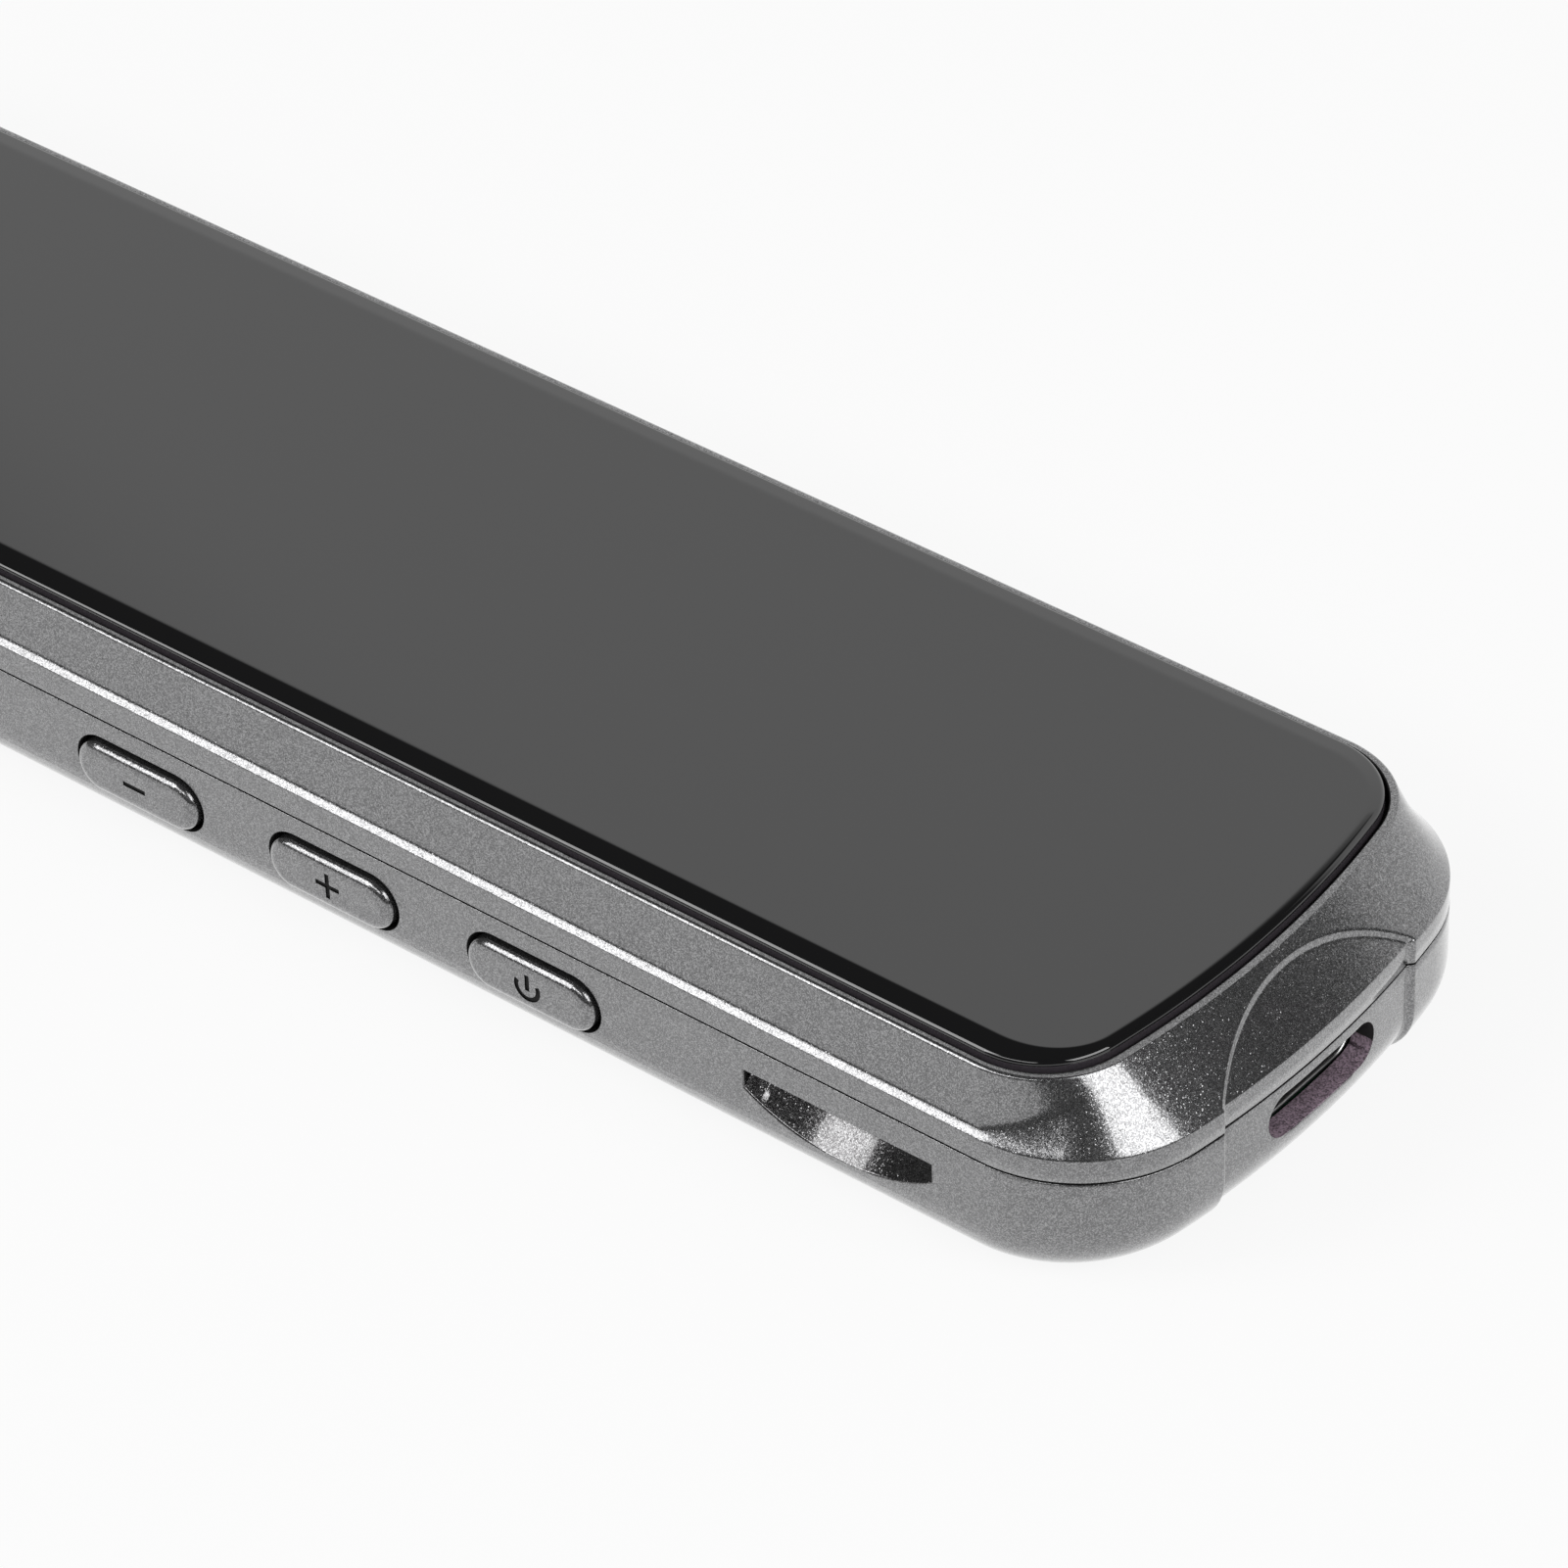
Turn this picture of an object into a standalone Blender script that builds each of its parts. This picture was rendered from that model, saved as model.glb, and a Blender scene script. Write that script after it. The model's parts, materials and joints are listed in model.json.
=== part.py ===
"""Handheld scanning pen: a long touch screen in a painted case, with a press-to-scan tip.

Metres, +Z up. The origin is the middle of the flat underside. +X points to the USB end,
-X to the scanning tip, -Y to the side with the three keys, and the screen faces +Z.
"""

import math

import bmesh
import bpy
from mathutils import Matrix, Vector

# Fits that many pieces share
SEAT_GAP = 0.0003
OVERRUN = 0.0006
MERGE_DISTANCE = 0.000003

# Case body
CASE_LENGTH = 0.142
BODY_WIDTH = 0.0326
CASE_HEIGHT = 0.012
PARTING_HEIGHT = 0.00716
RIDGE_HEIGHT = 0.009
WALL = 0.0012
FLOOR = 0.0012
CORNER_RADIUS = 0.0078
BULGE_RADIUS = 0.060
BOTTOM_FILLET = 0.003
END_FILLET_HEIGHT = 0.004
END_FILLET_RUN = 0.0045
SIDE_SHOULDER = 0.0011
END_SHOULDER = 0.00325
LIP_CORNER_RADIUS = 0.0056
LIP_WIDTH = 0.0004

# Nose that carries the scanning tip
NOSE_WIDTH = 0.021
NOSE_TAPER = 0.024
NOSE_WALL = 0.0016
NOSE_CORNER_RADIUS = 0.0018
NOSE_CHEEK = 0.002
NOSE_ROOF = 0.0007
NOSE_RAMP = 0.018
CHIN_SHARE = 1.7

# Recessed panel and arch on the USB end
RECESS_DEPTH = 0.0003
RECESS_WIDTH = 0.0152
ARCH_BASE_HEIGHT = 0.0085
ARCH_RISE = 0.00265

# Cover glass, its tape and the screen below it
GLASS_GAP = 0.0002
GLASS_RIM = 0.0008
GLASS_CROWN = 0.00035
GLASS_ROLL = 0.0021
TAPE_THICKNESS = 0.0002
DECK_THICKNESS = 0.0007
DISPLAY_SIDE_BORDER = 0.0014
DISPLAY_USB_BORDER = 0.00415
DISPLAY_NOSE_BORDER = 0.0244
DISPLAY_THICKNESS = 0.001
MID_PLATE_THICKNESS = 0.0005
MID_PLATE_FROM_END = 0.00475

# Side keys
KEY_LENGTH = 0.0081
KEY_HEIGHT = 0.003
KEY_GAP = 0.00025
KEY_PROUD = 0.0005
KEY_EDGE_RADIUS = 0.0004
KEY_LEVEL = 0.0041
KEY_PITCH = 0.01305
POWER_KEY_FROM_END = 0.0362
KEY_TRAVEL = 0.00035
KEY_EAR = 0.0012
KEY_EAR_HEIGHT = 0.0022
KEY_FLANGE = 0.0008
PLUNGER_RADIUS = 0.0006
PLUNGER_LENGTH = 0.0009
PLUNGER_PROUD = 0.0006
SWITCH_LENGTH = 0.0036
SWITCH_HEIGHT = 0.0028
SWITCH_DEPTH = 0.0013
KEY_BOARD_THICKNESS = 0.0006
KEY_BOARD_HEIGHT = 0.0046
KEY_BOARD_MARGIN = 0.0052
KEY_RIB_DEPTH = 0.0008
KEY_RIB_WIDTH = 0.001

# Strap slot in the side wall, with its way out through the underside
STRAP_FROM_END = 0.0172
STRAP_LENGTH = 0.01145
STRAP_TOP = 0.00535
STRAP_END_HEIGHT = 0.00115
STRAP_SAG = 0.0016
STRAP_FLOOR_RISE = 0.00175
STRAP_DEPTH = 0.005
STRAP_BAR = 0.002
STRAP_EXIT_LENGTH = 0.0086

# USB socket
USB_LEVEL = 0.00507
USB_OPENING_WIDTH = 0.0086
USB_OPENING_HEIGHT = 0.0026
USB_SHELL_WALL = 0.0003
USB_SHELL_LENGTH = 0.0073
USB_TONGUE_WIDTH = 0.0067
USB_TONGUE_THICKNESS = 0.0007
USB_TONGUE_SETBACK = 0.0006
USB_INSULATOR_LENGTH = 0.0014

# Main circuit board and what is soldered to it
BOARD_THICKNESS = 0.0008
BOARD_LENGTH = 0.0455
SHIELD_SIZE = (0.014, 0.013, 0.0024)
RADIO_SIZE = (0.009, 0.008, 0.0018)
MEMORY_SIZE = (0.006, 0.0085, 0.0011)
DISPLAY_CONNECTOR_SIZE = (0.0024, 0.007, 0.0012)
BATTERY_CONNECTOR_SIZE = (0.003, 0.003, 0.0014)
MICROPHONE_SIZE = (0.003, 0.0024, 0.0011)
BOARD_PLACE_SHARES = {
    "processor_shield": (0.60, 0.50),
    "radio_module": (0.31, 0.78),
    "memory_chip": (0.84, 0.42),
    "display_connector": (0.33, 0.30),
    "battery_connector": (0.95, 0.70),
    "microphone": (0.09, 0.80),
}
BOARD_SCREW_SHARES = ((0.07, 0.93), (0.94, 0.90), (0.94, 0.10), (0.27, 0.10))

# Small screws and the bosses that take them
SCREW_RADIUS = 0.0006
SCREW_HEAD_RADIUS = 0.0012
SCREW_HEAD_HEIGHT = 0.0005
SCREW_LENGTH = 0.0021
BOSS_WALL = 0.0008

# Ribs that stiffen the side walls and carry the middle plate
RIB_DEPTH = 0.0009
RIB_WIDTH = 0.0012
KEY_SIDE_RIB_SHARES = (0.198, 0.52, 0.66, 0.80)
PLAIN_SIDE_RIB_SHARES = (0.10, 0.24, 0.38, 0.52, 0.66, 0.80)

# Battery, speaker and aerial
BATTERY_EDGE_RADIUS = 0.0008
BATTERY_SPACE = 0.001
SPEAKER_SIZE = (0.015, 0.017, 0.0034)
SPEAKER_FROM_NOSE = 0.020
SPEAKER_GASKET_WALL = 0.0015
SPEAKER_HOLE_RADIUS = 0.0006
SPEAKER_HOLE_PITCH = 0.0022
SPEAKER_HOLES_IN_ROW = 5
MICROPHONE_HOLE_RADIUS = 0.0005
AERIAL_LENGTH = 0.013
AERIAL_HEIGHT = 0.0036
AERIAL_THICKNESS = 0.0003

# Scanning tip
TIP_REACH = 0.009
TIP_SILL = 0.00255
TIP_BROW = 0.00125
TIP_WALL = 0.0008
TIP_CORNER_RADIUS = 0.0018
TIP_NARROWING = 0.0014
TIP_THINNING = 0.0005
TIP_SLANT = 0.0026
TIP_TRAVEL = 0.0008
TIP_FLANGE = 0.0012
TIP_EAR = 0.0006
WINDOW_THICKNESS = 0.001
WINDOW_SETBACK = 0.0002

# Camera, lamps and tip switch behind the tip
LAMP_BOARD_FROM_NOSE = 0.0082
LAMP_BOARD_THICKNESS = 0.0006
LAMP_SIZE = (0.0008, 0.0018, 0.0012)
LAMP_SPREAD = 0.0046
BARREL_RADIUS = 0.0024
BARREL_WALL = 0.0006
BARREL_FRONT_FROM_NOSE = 0.0056
LENS_THICKNESS = 0.0007
LENS_SETBACK = 0.0003
CAMERA_SIDE = 0.005
CAMERA_DEPTH = 0.0038
BRACKET_WALL = 0.0008
BRACKET_BASE = 0.0007
BRACKET_LENGTH = 0.0036
BRACKET_EAR = 0.0042
TIP_SWITCH_SIZE = (0.0027, 0.0022, 0.0024)
TIP_PLUNGER_RADIUS = 0.0005
TIP_PLUNGER_LENGTH = 0.0022

# How finely round stretches are divided
BULGE_STEPS = 5
CORNER_STEPS = 8
TAPER_STEPS = 9
NOSE_CORNER_STEPS = 3
FILLET_STEPS = 4
SHOULDER_STEPS = 4
CROWN_STEPS = 4
ROUND_STEPS = 5
EDGE_STEPS = 2
ARC_STEPS = 10
HOLE_SIDES = 12

# Levels and places that follow from the sizes
HALF_LENGTH = (CASE_LENGTH + TIP_REACH) / 2
HALF_WIDTH = BODY_WIDTH / 2
USB_END_X = HALF_LENGTH
NOSE_X = HALF_LENGTH - CASE_LENGTH
CASE_TOP = PARTING_HEIGHT - SEAT_GAP / 2
FRAME_BOTTOM = PARTING_HEIGHT + SEAT_GAP / 2
GLASS_BOTTOM = CASE_HEIGHT - GLASS_RIM
TAPE_TOP = GLASS_BOTTOM - SEAT_GAP
DECK_TOP = TAPE_TOP - TAPE_THICKNESS - SEAT_GAP
DECK_BOTTOM = DECK_TOP - DECK_THICKNESS
DISPLAY_TOP = GLASS_BOTTOM - SEAT_GAP
DISPLAY_BOTTOM = DISPLAY_TOP - DISPLAY_THICKNESS
MID_PLATE_BOTTOM = CASE_TOP + SEAT_GAP
MID_PLATE_TOP = MID_PLATE_BOTTOM + MID_PLATE_THICKNESS
GLASS_INSET = LIP_WIDTH + GLASS_GAP
DISPLAY_HALF_WIDTH = HALF_WIDTH - SIDE_SHOULDER - GLASS_INSET - DISPLAY_SIDE_BORDER
DISPLAY_HIGH_X = USB_END_X - END_SHOULDER - GLASS_INSET - DISPLAY_USB_BORDER
DISPLAY_LOW_X = NOSE_X + NOSE_RAMP + GLASS_INSET + DISPLAY_NOSE_BORDER
INNER_HALF_WIDTH = HALF_WIDTH - WALL
WALL_INNER_Y = -INNER_HALF_WIDTH
PLAIN_SIDE_LIMIT = INNER_HALF_WIDTH - RIB_DEPTH - SEAT_GAP
USB_WALL_INNER_X = USB_END_X - RECESS_DEPTH - WALL
BOARD_TOP = USB_LEVEL - USB_OPENING_HEIGHT / 2 - USB_SHELL_WALL - SEAT_GAP
BOARD_BOTTOM = BOARD_TOP - BOARD_THICKNESS
BOARD_HIGH_X = USB_WALL_INNER_X - SEAT_GAP
BOARD_LOW_X = BOARD_HIGH_X - BOARD_LENGTH
BOARD_LOW_Y = -HALF_WIDTH + STRAP_DEPTH + WALL + SEAT_GAP
BOARD_HIGH_Y = PLAIN_SIDE_LIMIT
STRAP_X = USB_END_X - STRAP_FROM_END
POWER_KEY_X = USB_END_X - POWER_KEY_FROM_END
VOLUME_UP_X = POWER_KEY_X - KEY_PITCH
VOLUME_DOWN_X = VOLUME_UP_X - KEY_PITCH
FLANGE_OUTER_Y = WALL_INNER_Y + SEAT_GAP
FLANGE_INNER_Y = FLANGE_OUTER_Y + KEY_FLANGE
PLUNGER_OUTER_Y = FLANGE_INNER_Y + SEAT_GAP
SWITCH_OUTER_Y = PLUNGER_OUTER_Y + PLUNGER_PROUD
SWITCH_INNER_Y = SWITCH_OUTER_Y + SWITCH_DEPTH
SWITCH_POCKET = PLUNGER_LENGTH - PLUNGER_PROUD + KEY_TRAVEL + SEAT_GAP
KEY_BOARD_OUTER_Y = SWITCH_INNER_Y + SEAT_GAP
KEY_BOARD_INNER_Y = KEY_BOARD_OUTER_Y + KEY_BOARD_THICKNESS
KEY_RIB_OUTER_Y = KEY_BOARD_INNER_Y + SEAT_GAP
KEY_RIB_INNER_Y = KEY_RIB_OUTER_Y + KEY_RIB_DEPTH
SPEAKER_LOW_X = NOSE_X + SPEAKER_FROM_NOSE
SPEAKER_HIGH_X = SPEAKER_LOW_X + SPEAKER_SIZE[0]
BATTERY_LOW_X = SPEAKER_HIGH_X + BATTERY_SPACE
BATTERY_HIGH_X = BOARD_LOW_X - BATTERY_SPACE
LAMP_BOARD_X = NOSE_X + LAMP_BOARD_FROM_NOSE
LAMP_BOARD_BACK_X = LAMP_BOARD_X + LAMP_BOARD_THICKNESS
BARREL_FRONT_X = NOSE_X + BARREL_FRONT_FROM_NOSE
CAMERA_FRONT_X = LAMP_BOARD_BACK_X + SEAT_GAP
CAMERA_BACK_X = CAMERA_FRONT_X + CAMERA_DEPTH
FLANGE_FRONT_X = NOSE_X + NOSE_WALL + SEAT_GAP
FLANGE_BACK_X = FLANGE_FRONT_X + TIP_FLANGE
TIP_FRONT_X = NOSE_X - TIP_REACH
TIP_WIDTH = NOSE_WIDTH - 2 * (NOSE_CHEEK + SEAT_GAP)
TIP_HEIGHT = RIDGE_HEIGHT - TIP_BROW - TIP_SILL
TIP_LEVEL = TIP_SILL + TIP_HEIGHT / 2
BRACKET_EAR_BOTTOM = FLOOR + SCREW_LENGTH
BOSS_RADIUS = SCREW_RADIUS + SEAT_GAP + BOSS_WALL


def clear_scene():
    for old in list(bpy.data.objects):
        bpy.data.objects.remove(old, do_unlink=True)


def new_collection(name):
    collection = bpy.data.collections.new(name)
    bpy.context.scene.collection.children.link(collection)
    return collection


clear_scene()
PARTS = new_collection("scanning_pen")
CUTTERS = new_collection("cutters")


def make_material(name, colour, roughness, metallic):
    material = bpy.data.materials.new(name)
    material.use_nodes = True
    shader = material.node_tree.nodes["Principled BSDF"]
    shader.inputs["Base Color"].default_value = (*colour, 1)
    shader.inputs["Roughness"].default_value = roughness
    shader.inputs["Metallic"].default_value = metallic
    return material


def as_object(name, mesh, location, collection):
    thing = bpy.data.objects.new(name, mesh)
    thing.location = location
    collection.objects.link(thing)
    return thing


def as_cutter(thing):
    """A shape that only cuts or fills other shapes, and is no part itself."""
    thing.hide_render = True
    thing.display_type = "WIRE"
    return thing


def finish_part(thing, material):
    thing.data.materials.clear()
    thing.data.materials.append(material)
    return thing


def to_mesh(form, name, location, collection):
    mesh = bpy.data.meshes.new(name)
    bmesh.ops.recalc_face_normals(form, faces=form.faces)
    form.to_mesh(mesh)
    form.free()
    return as_object(name, mesh, location, collection)


def box(name, low, high, collection=None):
    """A block between two corners, with its origin in its middle."""
    low = Vector(low)
    high = Vector(high)
    form = bmesh.new()
    bmesh.ops.create_cube(form, size=1)
    bmesh.ops.scale(form, vec=high - low, verts=form.verts)
    return to_mesh(form, name, (low + high) / 2, collection or CUTTERS)


def turn_to(axis):
    return Vector((0, 0, 1)).rotation_difference(Vector(axis)).to_matrix()


def add_cylinder(form, radius, start, end, sides=HOLE_SIDES):
    """Adds one capped cylinder between two points to a mesh being built."""
    start = Vector(start)
    end = Vector(end)
    along = end - start
    made = bmesh.ops.create_cone(form, cap_ends=True, segments=sides, radius1=radius,
                                 radius2=radius, depth=along.length)
    place = Matrix.Translation((start + end) / 2) @ turn_to(along).to_4x4()
    bmesh.ops.transform(form, matrix=place, verts=made["verts"])


def cylinders(name, specs, collection=None, sides=HOLE_SIDES):
    """Several separate cylinders in one object, each given as radius, start and end."""
    form = bmesh.new()
    for radius, start, end in specs:
        add_cylinder(form, radius, start, end, sides)
    return to_mesh(form, name, (0, 0, 0), collection or CUTTERS)


def loft(name, rings, collection=None):
    """A closed body through rings of equal point counts, capped at both ends."""
    form = bmesh.new()
    loops = [[form.verts.new(point) for point in ring] for ring in rings]
    count = len(loops[0])
    for lower, upper in zip(loops, loops[1:]):
        for index in range(count):
            after = (index + 1) % count
            form.faces.new((lower[index], lower[after], upper[after], upper[index]))
    form.faces.new(reversed(loops[0]))
    form.faces.new(loops[-1])
    return to_mesh(form, name, (0, 0, 0), collection or CUTTERS)


def flat_outline(name, points, thickness, location, facing, collection=None):
    """A flat outline of the given thickness. Its own X and Y turn with the facing matrix."""
    curve = bpy.data.curves.new(name, "CURVE")
    curve.dimensions = "2D"
    curve.fill_mode = "BOTH"
    curve.extrude = thickness / 2
    spline = curve.splines.new("POLY")
    spline.points.add(len(points) - 1)
    for point, (across, up) in zip(spline.points, points):
        point.co = (across, up, 0, 1)
    spline.use_cyclic_u = True
    guide = as_object(name + "_outline", curve, location, CUTTERS)
    guide.matrix_world = Matrix.Translation(location) @ facing.to_4x4()
    bpy.context.view_layer.update()
    evaluated = guide.evaluated_get(bpy.context.evaluated_depsgraph_get())
    mesh = bpy.data.meshes.new_from_object(evaluated)
    form = bmesh.new()
    form.from_mesh(mesh)
    bmesh.ops.remove_doubles(form, verts=form.verts, dist=MERGE_DISTANCE)
    bmesh.ops.recalc_face_normals(form, faces=form.faces)
    form.to_mesh(mesh)
    form.free()
    mesh.name = name
    solid = as_object(name, mesh, (0, 0, 0), collection or CUTTERS)
    solid.matrix_world = guide.matrix_world.copy()
    bpy.data.objects.remove(guide, do_unlink=True)
    return solid


FACING_SIDE = Matrix(((1, 0, 0), (0, 0, -1), (0, 1, 0)))
FACING_END = Matrix(((0, 0, 1), (1, 0, 0), (0, 1, 0)))


def apply_boolean(target, other, operation):
    modifier = target.modifiers.new(other.name, "BOOLEAN")
    modifier.operation = operation
    modifier.object = as_cutter(other)
    modifier.solver = "EXACT"


def cut(target, *cutters):
    for cutter in cutters:
        apply_boolean(target, cutter, "DIFFERENCE")


def join(target, *additions):
    for addition in additions:
        apply_boolean(target, addition, "UNION")


def round_edges(thing, radius, segments):
    modifier = thing.modifiers.new("rounded edges", "BEVEL")
    modifier.width = radius
    modifier.segments = segments
    modifier.limit_method = "ANGLE"


def spaced(start, end, steps):
    return [start + (end - start) * step / steps for step in range(steps + 1)]


def arc(centre, radius, start, end, steps):
    return [(centre[0] + radius * math.cos(angle), centre[1] + radius * math.sin(angle))
            for angle in spaced(start, end, steps)]


def stadium(length, height):
    radius = height / 2
    reach = length / 2 - radius
    right = arc((reach, 0), radius, -math.pi / 2, math.pi / 2, 2 * ROUND_STEPS)
    left = arc((-reach, 0), radius, math.pi / 2, 3 * math.pi / 2, 2 * ROUND_STEPS)
    return right + left


def rounded_rectangle(width, height, radius):
    across = width / 2 - radius
    up = height / 2 - radius
    quarter = math.pi / 2
    corners = ((across, up), (-across, up), (-across, -up), (across, -up))
    points = []
    for turn, corner in enumerate(corners):
        points += arc(corner, radius, turn * quarter, (turn + 1) * quarter, ROUND_STEPS)
    return points


def bulged_end(half_width, apex_x, corner_radius):
    """From the end's middle round one corner to the straight side."""
    corner_y = half_width - corner_radius
    bulge_x = apex_x - BULGE_RADIUS
    reach = BULGE_RADIUS - corner_radius
    corner_x = bulge_x + math.sqrt(reach ** 2 - corner_y ** 2)
    turn = math.asin(corner_y / reach)
    bulge = arc((bulge_x, 0), BULGE_RADIUS, 0, turn, BULGE_STEPS)
    corner = arc((corner_x, corner_y), corner_radius, turn, math.pi / 2, CORNER_STEPS)
    return bulge[:-1] + corner


def tapered_nose(half_width, nose_half_width, nose_x, corner_radius):
    """From the straight side along the drawn-in flank to the middle of the nose."""
    start_x = NOSE_X + NOSE_TAPER
    end_x = nose_x + corner_radius
    drop = half_width - nose_half_width
    flank = []
    for step in range(TAPER_STEPS):
        share = step / TAPER_STEPS
        fall = (1 - math.cos(math.pi * share)) / 2
        flank.append((start_x + (end_x - start_x) * share, half_width - drop * fall))
    corner = arc((end_x, nose_half_width - corner_radius), corner_radius,
                 math.pi / 2, math.pi, NOSE_CORNER_STEPS)
    return flank + corner + [(nose_x, 0)]


def plan_ring(level, side_inset, usb_inset, scan_inset, corner_radius=None, nose=True):
    """The body's outline at one level, drawn in from the full outline by the insets."""
    half_width = HALF_WIDTH - side_inset
    corner = corner_radius or CORNER_RADIUS - side_inset
    half = bulged_end(half_width, USB_END_X - usb_inset, corner)
    scan_x = NOSE_X + scan_inset
    if nose:
        nose_corner = max(NOSE_CORNER_RADIUS - side_inset, SEAT_GAP)
        half += tapered_nose(half_width, NOSE_WIDTH / 2 - side_inset, scan_x, nose_corner)
    else:
        back = bulged_end(half_width, -scan_x, corner)
        half += [(-x, y) for x, y in reversed(back)]
    mirrored = [(x, -y) for x, y in reversed(half[1:-1])]
    return [Vector((x, y, level)) for x, y in half + mirrored]


def fillet_rings(low, wall, side_inset, usb_inset, scan_inset):
    """Rings that round the lower edge, more at the USB end, and less inside by the wall."""
    radius = BOTTOM_FILLET - wall
    end_height = END_FILLET_HEIGHT - wall
    end_run = END_FILLET_RUN - wall
    rings = []
    for angle in spaced(0, math.pi / 2, FILLET_STEPS):
        rise = end_height * (1 - math.cos(angle))
        below = max(radius - rise, 0)
        run = radius - math.sqrt(radius ** 2 - below ** 2)
        usb_run = end_run * (1 - math.sin(angle))
        rings.append(plan_ring(low + rise, side_inset + run, usb_inset + usb_run,
                               scan_inset + CHIN_SHARE * run))
    return rings


def hollow_rings(side_extra, end_extra):
    """The hollow of the lower case, drawn in further than the walls by the extras."""
    side = WALL + side_extra
    usb = WALL + RECESS_DEPTH + end_extra
    scan = NOSE_WALL + end_extra
    rings = fillet_rings(FLOOR, WALL, side, usb, scan)
    rings.append(plan_ring(CASE_TOP + OVERRUN, side, usb, scan))
    return rings


def lip_ring(level, inset):
    """The outline of the lip round the glass, drawn in by an inset."""
    return plan_ring(level, SIDE_SHOULDER + inset, END_SHOULDER + inset, NOSE_RAMP + inset,
                     LIP_CORNER_RADIUS - inset, nose=False)


def shoulder_rings(inset):
    """Rings from the ridge up the sloped shoulder to the lip."""
    ridge = plan_ring(RIDGE_HEIGHT, inset, inset, inset)
    lip = lip_ring(CASE_HEIGHT, inset)
    return [[low.lerp(high, share) for low, high in zip(ridge, lip)]
            for share in spaced(0, 1, SHOULDER_STEPS)]


def body_rings(inset):
    """The whole outer body, drawn in sideways by one inset."""
    return fillet_rings(0, 0, inset, inset, inset) + shoulder_rings(inset)


def make_end_recess():
    """Cuts the panel and its arch into the USB end, one even depth below the body."""
    half = RECESS_WIDTH / 2
    radius = (half ** 2 + ARCH_RISE ** 2) / (2 * ARCH_RISE)
    spread = math.asin(half / radius)
    arch = arc((0, ARCH_BASE_HEIGHT + ARCH_RISE - radius), radius,
               math.pi / 2 - spread, math.pi / 2 + spread, 2 * ARC_STEPS)
    outline = arch + [(-half, -OVERRUN), (half, -OVERRUN)]
    depth = 2 * (END_SHOULDER + RECESS_DEPTH)
    recess = flat_outline("end_recess", outline, depth, Vector((USB_END_X, 0, 0)), FACING_END)
    cut(recess, loft("end_recess_floor", body_rings(RECESS_DEPTH)))
    return recess


def usb_opening(name, width, height, low_x, high_x):
    middle = Vector(((low_x + high_x) / 2, 0, USB_LEVEL))
    return flat_outline(name, stadium(width, height), high_x - low_x, middle, FACING_END)


def tip_outline(inset, narrowing=0, thinning=0):
    """The tip's section, as distances across the pen and above the tip's middle."""
    return rounded_rectangle(TIP_WIDTH - 2 * (inset + narrowing), TIP_HEIGHT - 2 * (inset + thinning),
                             TIP_CORNER_RADIUS - inset)


def make_tip_passage():
    """The hole in the nose that the tip slides in."""
    low_x = NOSE_X - OVERRUN
    high_x = NOSE_X + NOSE_WALL + OVERRUN
    middle = Vector(((low_x + high_x) / 2, 0, TIP_LEVEL))
    return flat_outline("tip_passage", tip_outline(-SEAT_GAP), high_x - low_x, middle, FACING_END)


def key_hole(name, centre_x):
    outline = stadium(KEY_LENGTH + 2 * KEY_GAP, KEY_HEIGHT + 2 * KEY_GAP)
    middle = Vector((centre_x, -HALF_WIDTH + WALL / 2, KEY_LEVEL))
    return flat_outline(name, outline, WALL + 2 * OVERRUN, middle, FACING_SIDE)


def make_strap_way():
    """The crescent in the side wall, over a bar that rises inwards, and the way down behind it."""
    half = STRAP_LENGTH / 2
    low = STRAP_TOP - STRAP_END_HEIGHT
    radius = (half ** 2 + STRAP_SAG ** 2) / (2 * STRAP_SAG)
    spread = math.asin(half / radius)
    centre = (0, low - STRAP_SAG + radius)
    curve = arc(centre, radius, -math.pi / 2 - spread, -math.pi / 2 + spread, ARC_STEPS)
    outline = curve + [(half, STRAP_TOP), (-half, STRAP_TOP)]
    middle = Vector((STRAP_X, -HALF_WIDTH + (STRAP_BAR - OVERRUN) / 2, 0))
    crescent = flat_outline("strap_crescent", outline, STRAP_BAR + OVERRUN, middle, FACING_SIDE)
    slope = STRAP_FLOOR_RISE / STRAP_BAR
    for vert in crescent.data.vertices:
        depth = (crescent.matrix_world @ vert.co).y + HALF_WIDTH
        vert.co.y += slope * depth
    below_low = (STRAP_X - STRAP_LENGTH, -BODY_WIDTH, -OVERRUN)
    below = box("strap_below", below_low, (STRAP_X + STRAP_LENGTH, 0, STRAP_TOP))
    apply_boolean(crescent, below, "INTERSECT")
    exit_low = (STRAP_X - STRAP_EXIT_LENGTH / 2, -HALF_WIDTH + STRAP_BAR, -OVERRUN)
    exit_high = (STRAP_X + STRAP_EXIT_LENGTH / 2, -HALF_WIDTH + STRAP_DEPTH, STRAP_TOP)
    return crescent, box("strap_exit", exit_low, exit_high)


def strap_block():
    """The walls round the strap slot, which keep it apart from the electronics."""
    reach = STRAP_LENGTH / 2 + WALL
    low = (STRAP_X - reach, -BODY_WIDTH, -OVERRUN)
    high = (STRAP_X + reach, -HALF_WIDTH + STRAP_DEPTH + WALL, STRAP_TOP + WALL)
    return box("strap_block", low, high)


def board_place(along_share, across_share):
    x = BOARD_HIGH_X - along_share * BOARD_LENGTH
    return x, BOARD_LOW_Y + across_share * (BOARD_HIGH_Y - BOARD_LOW_Y)


def bracket_screw_places():
    x = CAMERA_FRONT_X + SEAT_GAP + BRACKET_LENGTH / 2
    y = CAMERA_SIDE / 2 + SEAT_GAP + BRACKET_WALL + BRACKET_EAR / 2
    return (x, -y), (x, y)


def board_screw_places():
    return [board_place(along, across) for along, across in BOARD_SCREW_SHARES]


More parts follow.
